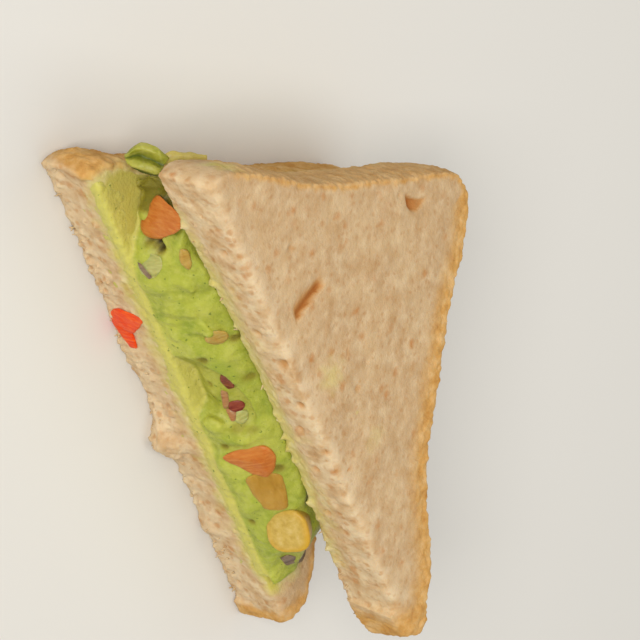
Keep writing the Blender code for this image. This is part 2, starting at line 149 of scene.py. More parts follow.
def fused(bm, voxel_mm, rounds):
    """Voxel remesh a bmesh, so that overlapping shapes become one skin of even, small faces."""
    mesh = bpy.data.meshes.new("fusing")
    bm.to_mesh(mesh)
    bm.free()
    holder = bpy.data.objects.new("fusing", mesh)
    bpy.context.scene.collection.objects.link(holder)
    modifier = holder.modifiers.new("voxels", "REMESH")
    modifier.mode = "VOXEL"
    modifier.voxel_size = voxel_mm * MM
    modifier.adaptivity = 0
    graph = bpy.context.evaluated_depsgraph_get()
    result = bpy.data.meshes.new_from_object(holder.evaluated_get(graph))
    bpy.data.objects.remove(holder)
    bpy.data.meshes.remove(mesh)
    fine = bmesh.new()
    fine.from_mesh(result)
    bpy.data.meshes.remove(result)
    soften(fine, fine.verts, rounds=rounds)
    fine.normal_update()
    return fine


def store(bm, name, values):
    """Store one number for each vertex of bm in a float layer that the material reads."""
    layer = bm.verts.layers.float.get(name) or bm.verts.layers.float.new(name)
    for vert, value in zip(bm.verts, values):
        vert[layer] = value


def add_blob(bm, at_mm, size_mm, turn, detail, rough_share):
    """Add an uneven lump to bm, its half sizes along its own axes."""
    made = bmesh.ops.create_icosphere(bm, subdivisions=detail, radius=1)
    seed = Vector(at_mm) * 0.37
    for vert in made["verts"]:
        swell = 1 + rough_share * noise.noise(vert.co * 1.3 + seed)
        vert.co = Vector([c * s for c, s in zip(vert.co * swell, size_mm)])
        vert.co.rotate(turn)
        vert.co = (vert.co + Vector(at_mm)) * MM


def through(points, value):
    """The height at a value of a line drawn through pairs of position and height."""
    if value <= points[0][0]:
        return points[0][1]
    for (low, first), (high, second) in zip(points, points[1:]):
        if value <= high:
            return mix(first, second, (value - low) / (high - low))
    return points[-1][1]


def add_hull(bm, points_mm, round_mm):
    """Add the hull of some points in mm to bm, with its edges rounded."""
    part = bmesh.new()
    for point in points_mm:
        part.verts.new(Vector(point) * MM)
    bmesh.ops.convex_hull(part, input=part.verts[:])
    loose = [vert for vert in part.verts if not vert.link_faces]
    bmesh.ops.delete(part, geom=loose, context="VERTS")
    bmesh.ops.dissolve_limit(part, angle_limit=math.radians(6), verts=part.verts[:],
                             edges=part.edges[:])
    bmesh.ops.bevel(part, geom=part.edges[:], offset=round_mm * MM, offset_type="OFFSET",
                    segments=3, profile=0.5, affect="EDGES", material=-1, clamp_overlap=True)
    bmesh.ops.triangulate(part, faces=part.faces[:])
    pour(part, bm)


def pour(part, bm):
    """Move everything in one bmesh into another."""
    mesh = bpy.data.meshes.new("part")
    part.to_mesh(mesh)
    part.free()
    bm.from_mesh(mesh)
    bpy.data.meshes.remove(mesh)


def thicken(sheet, bm, thickness_mm):
    """Turn a sheet to face outwards, give it a wall behind that face and move it into bm."""
    sheet.normal_update()
    if sum(face.normal.dot(OUT) for face in sheet.faces) < 0:
        bmesh.ops.reverse_faces(sheet, faces=sheet.faces[:])
    bmesh.ops.solidify(sheet, geom=sheet.faces[:], thickness=thickness_mm * MM)
    pour(sheet, bm)


def random_turn(rng):
    return Euler([rng.uniform(0, 2 * math.pi) for _ in range(3)])


def bubbles(point, cell_mm, size_range, share):
    """Depth from 0 to 1 of round open bubbles at a point in mm: one in a share of the cells."""
    distances, centres = noise.voronoi(point / cell_mm)
    chance = noise.cell(centres[0] * 53.7)
    if abs(chance) > share:
        return 0
    radius = mix(*size_range, abs(noise.cell(centres[0] * 91.3 + Vector((5, 1, 9)))))
    return max(1 - (distances[0] * cell_mm / radius) ** 2, 0) ** 1.5


# ---- Materials -------------------------------

def add_node(tree, kind, settings=None, **feeds):
    """Add a node, set its properties and fixed inputs, and feed its other inputs.

    A feed is a socket, a number or a hex colour, under its input's name, or in_2 for input 2. The
    stops of a colour ramp are pairs of position and colour, as hex or as a grey number.
    """
    node = tree.nodes.new("ShaderNode" + kind)
    for key, value in (settings or {}).items():
        if key in node.inputs:
            node.inputs[key].default_value = value
        elif key == "stops":
            points = node.color_ramp.elements
            while len(points) < len(value):
                points.new(0.5)
            for point, (position, colour) in zip(points, value):
                point.position = position
                point.color = linear(colour) if isinstance(colour, str) else (*[colour] * 3, 1)
        else:
            setattr(node, key, value)
    for key, source in feeds.items():
        slot = node.inputs[int(key[3:]) if key.startswith("in_") else key]
        if isinstance(source, bpy.types.NodeSocket):
            tree.links.new(source, slot)
        else:
            slot.default_value = linear(source) if isinstance(source, str) else source
    return node


def start_material(name, settings):
    """A Principled material with its fixed values set, and its Object coordinates in metres."""
    material = bpy.data.materials.new(name)
    material.use_nodes = True
    tree = material.node_tree
    for key, value in settings.items():
        tree.nodes["Principled BSDF"].inputs[key].default_value = value
    return material, tree, add_node(tree, "TexCoord").outputs["Object"]


def finish_material(material, base, *bumps):
    """Give a material its colour and its bumps, each a height and what it stands for in mm."""
    tree = material.node_tree
    shader = tree.nodes["Principled BSDF"]
    tree.links.new(base, shader.inputs["Base Color"])
    normal = {}
    for height, depth_mm in bumps:
        bump = add_node(tree, "Bump", {"Strength": 1.0, "Distance": depth_mm * MM},
                        Height=height, **normal)
        normal = {"Normal": bump.outputs["Normal"]}
    tree.links.new(normal["Normal"], shader.inputs["Normal"])
    return material


def per_mm(size_mm):
    """The Scale of a pattern on coordinates in metres, for features of a size in mm."""
    return 1 / (size_mm * MM)


def mottle(tree, place, size_mm, *stops, detail=3.0, roughness=0.55, distortion=0.0):
    """Soft patches of a size in mm: a height from 0 to 1, or the colours that stops give it."""
    patches = add_node(tree, "TexNoise", {
        "Scale": per_mm(size_mm), "Detail": detail, "Roughness": roughness,
        "Distortion": distortion}, Vector=place).outputs["Fac"]
    if stops:
        patches = add_node(tree, "ValToRGB", {"stops": stops}, Fac=patches).outputs[0]
    return patches


def painted(tree, name, *stops):
    """The numbers that the mesh holds in a layer, or the shares that stops give them."""
    layer = add_node(tree, "Attribute", {"attribute_name": name}).outputs["Fac"]
    if stops:
        layer = add_node(tree, "ValToRGB", {"stops": stops}, Fac=layer).outputs[0]
    return layer


def spots(tree, place, cell_mm, inner, outer):
    """Round spots, one to a cell: 1 within the inner share of the cell, 0 past the outer."""
    cells = add_node(tree, "TexVoronoi", {"Scale": per_mm(cell_mm), "Randomness": 1.0},
                     Vector=place)
    return add_node(tree, "MapRange", {
        "interpolation_type": "SMOOTHSTEP", "From Min": outer, "From Max": inner},
        Value=cells.outputs["Distance"]).outputs["Result"]


def coated(tree, base, *coats):
    """Lay colours over a base, each a row of shares that multiply, and last its colour."""
    for share, *others, colour in coats:
        for other in others:
            share = add_node(tree, "Math", {"operation": "MULTIPLY", "use_clamp": True},
                             in_0=share, in_1=other).outputs[0]
        base = add_node(tree, "Mix", {"data_type": "RGBA"}, in_0=share, in_6=base,
                        in_7=colour).outputs[2]
    return base


def hex_of(colour):
    """A colour property, which holds sRGB values, as a hex string."""
    return "#" + "".join(f"{round(c * 255):02x}" for c in colour)


def colour_property(name, description, hex_colour):
    default = [int(hex_colour[i:i + 2], 16) / 255 for i in (1, 3, 5)]
    return FloatVectorProperty(name=name, description=description, default=default,
                               subtype="COLOR_GAMMA", size=3, min=0, max=1)


def bread_material(look):
    """Light wholemeal toast bread, baked in a tin: a matt, open crumb with small bran specks.

    The crust is a thin dry golden skin. Where guacamole has touched it the crumb has drunk the
    juice and turned yellow-green.
    """
    material, tree, place = start_material("wholemeal_toast_bread", {
        "Roughness": 0.85, "IOR": 1.35, "Specular IOR Level": 0.25,
        "Subsurface Weight": 0.2, "Subsurface Radius": (1.0, 0.7, 0.4),
        "Subsurface Scale": 2.0 * MM})
    face = mottle(tree, place, 3.0, (0.3, "#bc976a"), (0.5, hex_of(look.crumb)),
                  (0.68, "#d3b78f"), detail=4.0)
    torn = mottle(tree, place, 3.0, (0.3, "#bb9466"), (0.48, "#cdae84"), (0.66, "#dcc6a0"),
                  detail=4.0)
    # Bran is ragged flecks of husk about a millimetre across, thinly spread.
    bend = add_node(tree, "TexNoise", {"Scale": per_mm(1.6), "Detail": 2.0}, Vector=place)
    bend = add_node(tree, "VectorMath", {"operation": "SCALE", "Scale": 1.6 * MM},
                    Vector=bend.outputs["Color"])
    ragged = add_node(tree, "VectorMath", {"operation": "ADD"}, in_0=place,
                      in_1=bend.outputs["Vector"]).outputs["Vector"]
    few = mottle(tree, place, 5.5, (0.42, 0.25), (0.58, 0.75), detail=2.0)
    toasted = mottle(tree, place, 3.2, (0.3, "#b98544"), (0.48, hex_of(look.crust)),
                     (0.68, "#dcb47a"), detail=4.0, roughness=0.6)
    soaked = mottle(tree, place, 2.4, (0.3, "#c6ba60"), (0.5, hex_of(look.juice)),
                    (0.7, "#dbd09a"), detail=4.0, roughness=0.6)
    soaked = coated(tree, soaked, (painted(tree, "stain", (0.7, 0.0), (0.98, 0.9)), "#c0b84e"))
    cut = painted(tree, "cut")
    base = coated(
        tree, face, (cut, torn),
        (mottle(tree, place, 8.0, (0.4, 0.0), (0.66, 0.4)), "#d9bd92"),
        (painted(tree, "pale"), 0.5, "#e2cda9"),
        (spots(tree, ragged, 5.2, 0.05, 0.29), few, "#bb7b3c"),
        (spots(tree, ragged, 2.0, 0.05, 0.40), 0.38, "#b07a42"),
        (spots(tree, ragged, 2.9, 0.08, 0.34), cut, 0.55, "#b98046"),
        # Painted shade: orange-brown in dips, pores, the crease and the pit, deeper brown where it
        # is darkest.
        (painted(tree, "pore", (0.0, 0.0), (0.6, 0.8)), "#bd8647"),
        (painted(tree, "pore", (0.55, 0.0), (1.0, 0.9)), "#a05f25"),
        (painted(tree, "crust"), toasted),
        (painted(tree, "stain", (0.0, 0.0), (0.75, 0.9)), soaked))
    return finish_material(
        material, base, (mottle(tree, place, 0.9, roughness=0.6), look.grain * 0.5),
        (mottle(tree, place, 0.4, detail=2.0, roughness=0.5), look.grain * 0.18))


def guacamole_material(look):
    """Mashed avocado: smooth moist fat and water, paler where the fork has smeared it.

    It lets light a few millimetres in, and its surface has a soft, broad sheen.
    """
    material, tree, place = start_material("mashed_avocado", {
        "Roughness": 0.5, "IOR": 1.38, "Specular IOR Level": 0.35, "Subsurface Weight": 0.35,
        "Subsurface Radius": (1.0, 1.0, 0.25), "Subsurface Scale": 2.2 * MM,
        "Coat Weight": 0.08, "Coat Roughness": 0.22})
    base = coated(
        tree,
        mottle(tree, place, 6.0, (0.3, hex_of(look.deep)), (0.5, hex_of(look.flesh)),
               (0.68, hex_of(look.pale)), roughness=0.6, distortion=0.6),
        (mottle(tree, place, 1.5, (0.45, 0.0), (0.68, 0.45), detail=4.0, roughness=0.6),
         "#c6c968"),
        (painted(tree, "thin"), 0.8, "#d0c668"),
        (painted(tree, "green"), "#94a33a"),
        # Painted shade: olive-brown in dips, hollows, the recess and behind the lettuce, near black
        # in the deepest hollows.
        (painted(tree, "hollow", (0.0, 0.0), (0.5, 0.75)), "#80701e"),
        (painted(tree, "hollow", (0.5, 0.0), (1.0, 0.95)), "#2c2208"),
        # Bits of skin and herb, about half a millimetre across.
        (mottle(tree, place, 0.9, (0.7, 0.0), (0.75, 0.7), detail=1.0), "#5f7424"))
    return finish_material(material, base, (mottle(tree, place, 1.4, roughness=0.5), 0.35),
                           (mottle(tree, place, 0.45, detail=2.0, roughness=0.5), 0.10))


def wet_flesh(name, main, light, dark, clear=0.4, streak_mm=(0.5, 2.5, 2.5)):
    """Cut vegetable flesh: wet and slightly see-through, with faint fibres along one way."""
    material, tree, place = start_material(name, {
        "Roughness": 0.34, "IOR": 1.36, "Specular IOR Level": 0.3, "Subsurface Weight": clear,
        "Subsurface Radius": (1.0, 0.45, 0.2), "Subsurface Scale": 2.5 * MM,
        "Coat Weight": 0.12, "Coat Roughness": 0.14})
    along_fibres = add_node(tree, "Mapping", {
        "Scale": [1 / size for size in streak_mm], "Rotation": (0.4, 0.5, 0.3)},
        Vector=place).outputs["Vector"]
    fibres = mottle(tree, along_fibres, 1.0, roughness=0.5)
    flesh = add_node(tree, "ValToRGB", {"stops": ((0.3, dark), (0.5, main), (0.7, light))},
                     Fac=fibres).outputs[0]
    base = coated(tree, flesh,
                  (mottle(tree, place, 3.5, (0.45, 0.0), (0.65, 0.5), detail=2.0), light))
    return finish_material(material, base, (fibres, 0.12),
                           (mottle(tree, place, 0.8, detail=2.0), 0.08))


def corn_material():
    """Cooked sweetcorn: a thin glossy yellow skin round a paler, starchy inside."""
    material, tree, place = start_material("sweetcorn_kernel", {
        "Roughness": 0.4, "IOR": 1.38, "Subsurface Weight": 0.35,
        "Subsurface Radius": (1.0, 0.8, 0.25), "Subsurface Scale": 2.0 * MM,
        "Specular IOR Level": 0.3, "Coat Weight": 0.1, "Coat Roughness": 0.15})
    grain = mottle(tree, place, 1.4)
    inside = add_node(tree, "ValToRGB", {
        "stops": ((0.32, "#b69848"), (0.52, "#c6a957"), (0.7, "#d0b66e"))},
        Fac=grain).outputs[0]
    return finish_material(material, coated(tree, inside, (painted(tree, "rim"), "#c69b28")),
                           (grain, 0.12))


def lettuce_material(look):
    """Soft leaf lettuce: thin, cool green, lit through, paler along its branching veins."""
    material, tree, place = start_material("lettuce_leaf", {
        "Roughness": 0.45, "IOR": 1.36, "Subsurface Weight": 0.3,
        "Subsurface Radius": (0.8, 1.0, 0.2), "Subsurface Scale": 1.0 * MM,
        "Coat Weight": 0.05, "Coat Roughness": 0.25})
    veins = add_node(tree, "TexVoronoi", {
        "feature": "DISTANCE_TO_EDGE", "Scale": per_mm(3.6), "Randomness": 0.9},
        Vector=place).outputs["Distance"]
    vein = add_node(tree, "ValToRGB", {"stops": ((0.0, 0.35), (0.09, 0.0))}, Fac=veins)
    base = coated(
        tree,
        mottle(tree, place, 4.0, (0.3, hex_of(look.deep)), (0.5, hex_of(look.leaf)),
               (0.7, hex_of(look.pale))),
        (vein.outputs[0], "#bdb968"),
        (painted(tree, "light"), "#c6b066"),
        # Painted shade in the fold's crease and under its tucked lip.
        (painted(tree, "hollow"), "#3c4f16"))
    return finish_material(material, base, (veins, 0.15),
                           (mottle(tree, place, 1.0, detail=2.0), 0.12))


# ---- What a user may change -------------------

class BreadLook(bpy.types.PropertyGroup):
    crumb: colour_property("Crumb", "Colour of the sliced face", "#c6a67d")
    crust: colour_property("Crust", "Colour of the baked skin", "#cd9d59")
    juice: colour_property("Juice", "Colour of the crumb where guacamole has soaked in", "#d3c67c")
    voxel: FloatProperty(name="Mesh size", description="Spacing of the bread's mesh, in mm",
                         default=0.43, min=0.3, max=2)
    grain: FloatProperty(name="Grain", description="Height of the finest crumb, in mm",
                         default=0.42, min=0, max=2)
    crust_width: FloatProperty(name="Crust", description="Width of the crust on a slice's face, "
                               "in mm", default=1.9, min=0.2, max=4)
    flakes: IntProperty(name="Flakes", description="Number of crumb flakes along each cut",
                        default=130, min=0, max=400)


class GuacamoleLook(bpy.types.PropertyGroup):
    flesh: colour_property("Flesh", "Main colour of the mashed avocado", "#abb142")
    pale: colour_property("Pale flesh", "Colour of the smeared ridges", "#bbbd52")
    deep: colour_property("Deep flesh", "Colour near the avocado's skin", "#909d34")
    voxel: FloatProperty(name="Mesh size", description="Spacing of the guacamole's mesh, in mm",
                         default=0.42, min=0.3, max=2)
    mound: FloatProperty(name="Mounds", description="Height of the mash's mounds, in mm",
                         default=0.9, min=0, max=3)


class LettuceLook(bpy.types.PropertyGroup):
    leaf: colour_property("Leaf", "Main colour of the leaf", "#9a9a34")
    pale: colour_property("Pale leaf", "Colour towards the rib", "#b2ad50")
    deep: colour_property("Deep leaf", "Colour towards the frill", "#7f8425")


class StageLook(bpy.types.PropertyGroup):
    floor: colour_property("Floor", "Colour of the table", "#dedcd6")
    lens: FloatProperty(name="Lens", description="Focal length of the camera, in mm", default=172,
                        min=20, max=400)
    brightness: FloatProperty(name="Brightness", description="Power of the lights, as a share",
                              default=1.0, min=0, max=5)


# ---- Bread -----------------------------------

CREASE = (Vector((-24.3, -9.9)), Vector((-23.3, -19.7)))    # ends of its sharp side, in X and Y
PIT = Vector((-18.2, 21.3))                                 # a burst bubble
HOLE_MIDDLES = (Vector((-25.0, -14.8, 39.3)), Vector((-16.2, 22.0, 35.5)))
TORN_DEPTH = 12          # how far back from the front the cut face can lie
TIP_CRUST = 4.0          # width of the crust round the loaf's corner at +X
PORES = (                # open bubbles in the upper slice's cut, and their radii
    ((-17.2, -26.2, 38.8), 1.6), ((-5.8, -25.7, 38.6), 1.1), ((1.4, -25.8, 36.0), 1.1),
    ((7.6, -24.9, 40.0), 1.2), ((-6.3, -25.5, 32.0), 1.1), ((13.2, -25.4, 35.2), 0.9),
    ((-36.0, -26.5, 34.0), 1.0), ((-46.5, -27.0, 36.5), 1.1), ((27.0, -25.0, 33.0), 1.0),
)
SMEARS = (               # faint touches of guacamole: middle, radius, strength
    ((-6.5, -16.6, 39.7), 4.2, 0.42), ((15.3, -12.0, 39.3), 3.2, 0.25),
    ((-61.0, -19.4, 35.2), 4.4, 0.85), ((6.5, -13.8, 39.4), 0.55, 1.0),
)


def is_cut(face, front_mm):
    return face.normal.y < -0.7 and face.calc_center_median().y / MM < front_mm + TORN_DEPTH


def is_crust(face, node, front_mm, tips_mm):
    at = face.calc_center_median() / MM
    if abs(face.normal.z) > 0.6 or is_cut(face, front_mm):
        return False
    if any((at - middle).length < reach for middle, reach in zip(HOLE_MIDDLES, (9, 6))):
        return False
    if node == "top_bread" and at.x < tips_mm[0] + 10 and at.y < -19:
        return False
    return at.y > front_mm + 9 or not tips_mm[0] + 6 < at.x < tips_mm[1] - 9


def torn_height(p):
    """Relief in mm of crumb that a knife has torn: soft little lumps and open bubbles."""
    rise = 0.16 * noise.noise(p / 4.0) + 0.10 * noise.noise(p / 1.5) + 0.16 * noise.noise(p / 0.8)
    return rise - 0.6 * bubbles(p, 4.4, (0.6, 1.2), 0.5) - 0.45 * bubbles(p, 1.8, (0.3, 0.65), 0.6)


def face_height(p):
    """Relief in mm of the sliced face: soft dents and a few cut bubbles."""
    rise = 0.32 * noise.noise(p / 9) + 0.12 * noise.noise(p / 3) + 0.05 * noise.noise(p / 1.2)
    rise -= 0.22 * bubbles(p, 2.6, (0.3, 0.6), 0.25)
    return rise - 0.45 * bubbles(p, 6.5, (0.6, 1.3), 0.25)


def crust_height(p):
    """Relief in mm of the crust: dry wrinkles and chips."""
    wrinkle = abs(noise.noise(Vector((p.x / 2.2, p.y / 2.2, p.z / 1.0))))
    chips = noise.noise(Vector((p.x / 1.1, p.y / 1.1, p.z / 2.5)))
    return 0.30 * noise.noise(p / 4) + 0.34 * chips - 0.30 * wrinkle


def crease_at(p):
    """Depth in mm of the crease and its painted shade: it slopes gently to a steep +X side."""
    start, end = CREASE
    share = (p.y - start.y) / (end.y - start.y)
    slope = mix(start.x, end.x, share) - 0.3 * math.sin(3 * share) - p.x
    if not -0.1 < share < 1.1 or slope < -0.5 or slope > 6:
        return 0, 0
    ends = smooth(-0.05, 0.15, share) * smooth(1.06, 0.88, share)
    steep = smooth(-0.5, 0.1, slope)
    deep = 1.2 * max(1 - max(slope, 0) / 5, 0) ** 1.7
    # Painted shade: darkest beside the steep side, fading up the gentle slope.
    dark = smooth(mix(3.2, 4.8, share), 0.8, slope)
    return deep * steep * ends, dark * smooth(-0.4, -0.1, slope) * ends


def pit_at(p):
    """Depth in mm of the burst bubble and its painted shade: a crescent, deepest at one end."""
    away = Vector((p.x - PIT.x, p.y - PIT.y))
    along_it, across = away.x * 0.67 + away.y * 0.74, away.x * 0.74 - away.y * 0.67
    across += 0.12 * along_it ** 2 - 0.3
    inside = (along_it / 3.4) ** 2 + (across / 1.25) ** 2 + 0.2 * noise.noise(p / 1.1)
    deep = smooth(1.5, 0.4, inside)
    shallow = smooth(-2.5, 2.5, along_it)
    return mix(1.3, 0.5, shallow) * deep, mix(1.0, 0.7, shallow) * deep


def hit_cut(tree, x_mm, z_mm):
    """The point in mm of the cut face at a place along the cut and a height."""
    found = tree.ray_cast(Vector((x_mm, -80, z_mm)) * MM, Vector((0, 1, 0)))[0]
    return found / MM if found else None


def add_crumbs(bm, cut, rng, count, heights, size_range):
    """Crumbs that stand off a cut face, more of them towards the first of two heights."""
    for _ in range(count):
        x = along(rng.uniform(0.02, 0.98))
        at = hit_cut(cut, x, mix(*heights, rng.random() ** 2.0))
        if at:
            size = Vector([rng.uniform(*size_range) * share for share in (1.0, 0.8, 0.7)])
            at.y -= rng.uniform(-0.5, 0.45) * size.y
            add_blob(bm, at, size, random_turn(rng), 1, 0.6)


def plug(bm, tree, middle, half_x, half_y):
    """Close a hole in the upper face with a block whose top joins the face round it."""
    corners = []
    for x, y in ((-half_x, -half_y), (half_x, -half_y), (half_x, half_y), (-half_x, half_y)):
        above = Vector((middle.x + x, middle.y + y, 60)) * MM
        top = tree.ray_cast(above, Vector((0, 0, -1)))[0] / MM
        corners += [top - Vector((0, 0, 0.03)), top - Vector((0, 0, 7))]
    part = bmesh.new()
    for corner in corners:
        part.verts.new(corner * MM)
    bmesh.ops.convex_hull(part, input=part.verts[:])
    pour(part, bm)


def upper_marks(p, wobble):
    """What marks the upper slice at a point: a sink and its painted shade, open bubbles and theirs.
    """
    (crease, crease_shade), (pit, pit_shade) = crease_at(p), pit_at(p)
    opened = 0
    for middle, radius in PORES:
        near = (p - Vector(middle)).length / radius
        if near < 1.3:
            opened += smooth(1.2, 0.3, near + 0.35 * wobble)
    return max(crease, pit), max(crease_shade, pit_shade), opened


def crust_share(p, look, upper, tip, far_crust, long_side, wobble):
    """How baked a point is, from 0 to 1; the long side's crust shows wider on the upper face."""
    width = look.crust_width * (mix(0.6, 3.1, long_side) if upper else 1)
    baked = smooth(1.5 * width, 0.35 * width, far_crust)
    if not upper:
        # At the tip the near part of the short side is bare crumb.
        bare = smooth(-31.2, -33.4, p.y + 0.3 * (p.z - 8) + 0.8 * wobble) * smooth(-50, -58, p.x)
        baked *= 1 - 0.9 * bare
    from_tip = tip + (2.5 if upper else 0) - p.x
    return max(baked, smooth(TIP_CRUST + 2, TIP_CRUST - 1.5, from_tip + 1.8 * wobble))


def stain_share(p, q, upper, reach, far_sauce, wobble):
    """How far guacamole has soaked into a point or touched it, from 0 to 1."""
    reach *= 1 + 0.45 * noise.noise(q / 4.5) + 0.3 * noise.noise(q / 1.6)
    reach *= mix(1, 0.6, smooth(43, 52, p.x))
    stain = smooth(reach, 0.15 * reach, far_sauce) * (0.75 if upper else 1)
    for middle, radius, strength in SMEARS if upper else ():
        near = (p - Vector(middle)).length / radius + 0.5 * wobble
        stain = max(stain, strength * smooth(1.2, 0.1, near))
    return stain


def dress_slice(node, name, material, look, seed, stain_reach, extra):
    """Rebuild a slice with torn crumb, cut bubbles and a dry crust on a fine even mesh."""
    low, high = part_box(node)
    front, tips = low.y / MM, (low.x / MM, high.x / MM)
    upper = node == "top_bread"
    bm = node_copy(node)
    bm.normal_update()
    crust = tree_of(bm, lambda face: is_crust(face, node, front, tips))
    cut = tree_of(bm, lambda face: is_cut(face, front))
    flat = tree_of(bm, lambda face: face.normal.z > 0.8)
    sauce = BVHTree.FromBMesh(node_copy("guacamole"))
    extra(bm, cut, random.Random(seed))
    fine = fused(bm, look.voxel, rounds=2)
    shift = Vector((seed * 3.1, seed * 7.7, seed))
    moves, brink = [], []
    layers = {"cut": [], "crust": [], "pore": [], "stain": [], "pale": []}
    for index, vert in enumerate(fine.verts):
        p = vert.co / MM
        q = p + shift
        wobble = noise.noise(q / 1.8)
        far_cut, far_sauce, far_flat = (tree.find_nearest(vert.co)[3] / MM
                                        for tree in (cut, sauce, flat))
        skin, _, _, far_crust = crust.find_nearest(vert.co)
        far_crust = far_crust / MM + 0.7 * wobble
        torn = smooth(1.8, 0.5, far_cut)
        baked = crust_share(p, look, upper, tips[1], far_crust, smooth(-12, -5, skin.x / MM),
                            wobble)
        height = mix(mix(face_height(q), torn_height(q), torn), crust_height(q), baked)
        # Painted shade: the deeper a dip in the crumb, the darker it is painted.
        pore = min(max(-height - 0.22, 0) * 1.3, 0.6) * (1 - baked)
        # The cut's upper edge is crumbly and round.
        edge = max(far_cut, far_flat)
        height -= 0.55 * smooth(1.8, 0.1, edge)
        sink = trim = ridge = pale_side = 0
        if upper:
            facing = smooth(0.2, 0.6, vert.normal.z)
            sink, dark, opened = upper_marks(p, wobble)
            sink *= facing
            height = height * (1 - 0.6 * smooth(0.2, 0.8, sink)) - 0.8 * opened
            # Painted shade in the crease, the pit and the open bubbles.
            pore = max(pore, dark * facing, 0.6 * opened)
            ridge = smooth(6.5, 1.0, edge) * smooth(-0.2, 0.35, noise.noise(q / 3.5) + 0.15)
            # The crust of the short side, the top of the loaf, is softer and paler.
            pale_side = smooth(0.0, -0.4, vert.normal.x) * smooth(6, -2, p.x)
        else:
            if p.z < 7 and 0 < p.x < 14 and p.y < -31:
                # The hanging lump of crumb is rougher than the rest of the cut.
                height += 0.7 * noise.noise(q / 2.2) + 0.4 * noise.noise(q / 1.1)
            # The crust of the tip lies a little further in than a plain slice's.
            trim = smooth(-48, -56, p.x) * smooth(3, 0.5, far_crust)
        hidden = smooth(0.7, 0.95, abs(vert.normal.z)) * smooth(1.5, 0.4, abs(p.z))
        moves.append(vert.normal * height * (1 - hidden) - Vector((-0.8 * trim, 0.7 * trim, sink)))
        foot = 0.9 * smooth(9, 3, p.z + 2 * noise.noise(q / 4)) * torn
        stain = stain_share(p, q, upper, stain_reach, far_sauce, wobble)
        layers["cut"].append(torn)
        layers["crust"].append(baked * (1 - 0.4 * pale_side))
        layers["pore"].append(pore)
        layers["stain"].append(stain * (1 - 0.35 * baked))
        layers["pale"].append(max(ridge, foot) * (1 - baked))
        if edge < 1.8:
            brink.append(index)
    for key, values in layers.items():
        store(fine, key, values)
    for vert, move in zip(fine.verts, moves):
        vert.co += move * MM
        vert.co.z = max(vert.co.z, 0)
    fine.verts.ensure_lookup_table()
    soften(fine, [fine.verts[index] for index in brink], rounds=3)
    new_object(name, fine, material, node)


def lower_slice_extras(flakes):
    def extra(bm, cut, rng):
        add_crumbs(bm, cut, rng, flakes, (0.2, 3.5), (0.35, 1.0))
        add_crumbs(bm, cut, rng, flakes // 2, (2, 12.8), (0.4, 0.9))
        # The loaf's corner is squarer at its foot.
        add_hull(bm, ((64.6, -33.2, 0.1), (63.6, -31.8, 12.8), (60, -34.0, 0.1), (60, -31, 12.6),
                      (64.6, -29, 0.1), (63.9, -28, 12.8), (57, -29, 0.1), (57, -29, 12.6)), 0.5)
    return extra


def upper_slice_extras(flakes):
    def extra(bm, cut, rng):
        for _ in range(flakes * 2 // 3):
            x = along(rng.uniform(0.02, 0.98))
            for z in (23.5, 25, 26.5, 28, 29.5, 31, 32.5):
                at = hit_cut(cut, x, z)
                if at:
                    size = [rng.uniform(0.5, 1.7) * share for share in (1.0, 0.5, 0.7)]
                    at += Vector((0, rng.uniform(-0.2, 0.8), rng.uniform(-0.6, 1.2)))
                    add_blob(bm, at, size, random_turn(rng), 1, 0.6)
                    break
        add_crumbs(bm, cut, rng, flakes // 3, (26, 34), (0.4, 0.9))
        bm.normal_update()
        face = BVHTree.FromBMesh(bm)
        plug(bm, face, HOLE_MIDDLES[0], 1.9, 6.6)
        plug(bm, face, HOLE_MIDDLES[1], 3.4, 2.4)
        # The loaf's corner is squarer than a plain slice's.
        add_hull(bm, ((67.6, -23.6, 27.7), (67.2, -20, 28), (67.0, -19.2, 39.6),
                      (62.6, -23.8, 40.1), (65.8, -16.3, 39.6), (65.4, -15, 28),
                      (55, -25.5, 27.7), (55, -25.5, 40.2), (57, -12, 39.0), (57, -12, 28)), 0.6)
    return extra


# ---- Guacamole -------------------------------

FRONT_LOW = -32.6       # Y of the filling's front at its foot and at its top
FRONT_HIGH = -26.9
FOOT = 13.7             # height of its foot and of its top
TOP = 26.6
DICE = ("corn_kernel", "onion_chip", "onion_left", "onion_middle", "onion_right", "tomato_bit",
        "tomato_cube", "tomato_upper", "tomato_wedge")
SET_BACKS = (           # where the foot lies further in: place along the cut, reach, mm
    (-50, 6, 3.6), (-46.8, 3.0, 2.4),
)
LEDGE = ((-14.8, 18.8), (-10.4, 22.3), (-5.7, 23.2), (-2.1, 23.8), (3.4, 23.8))
RECESS_DEPTH = 2.4      # how far the mash under the ledge lies back
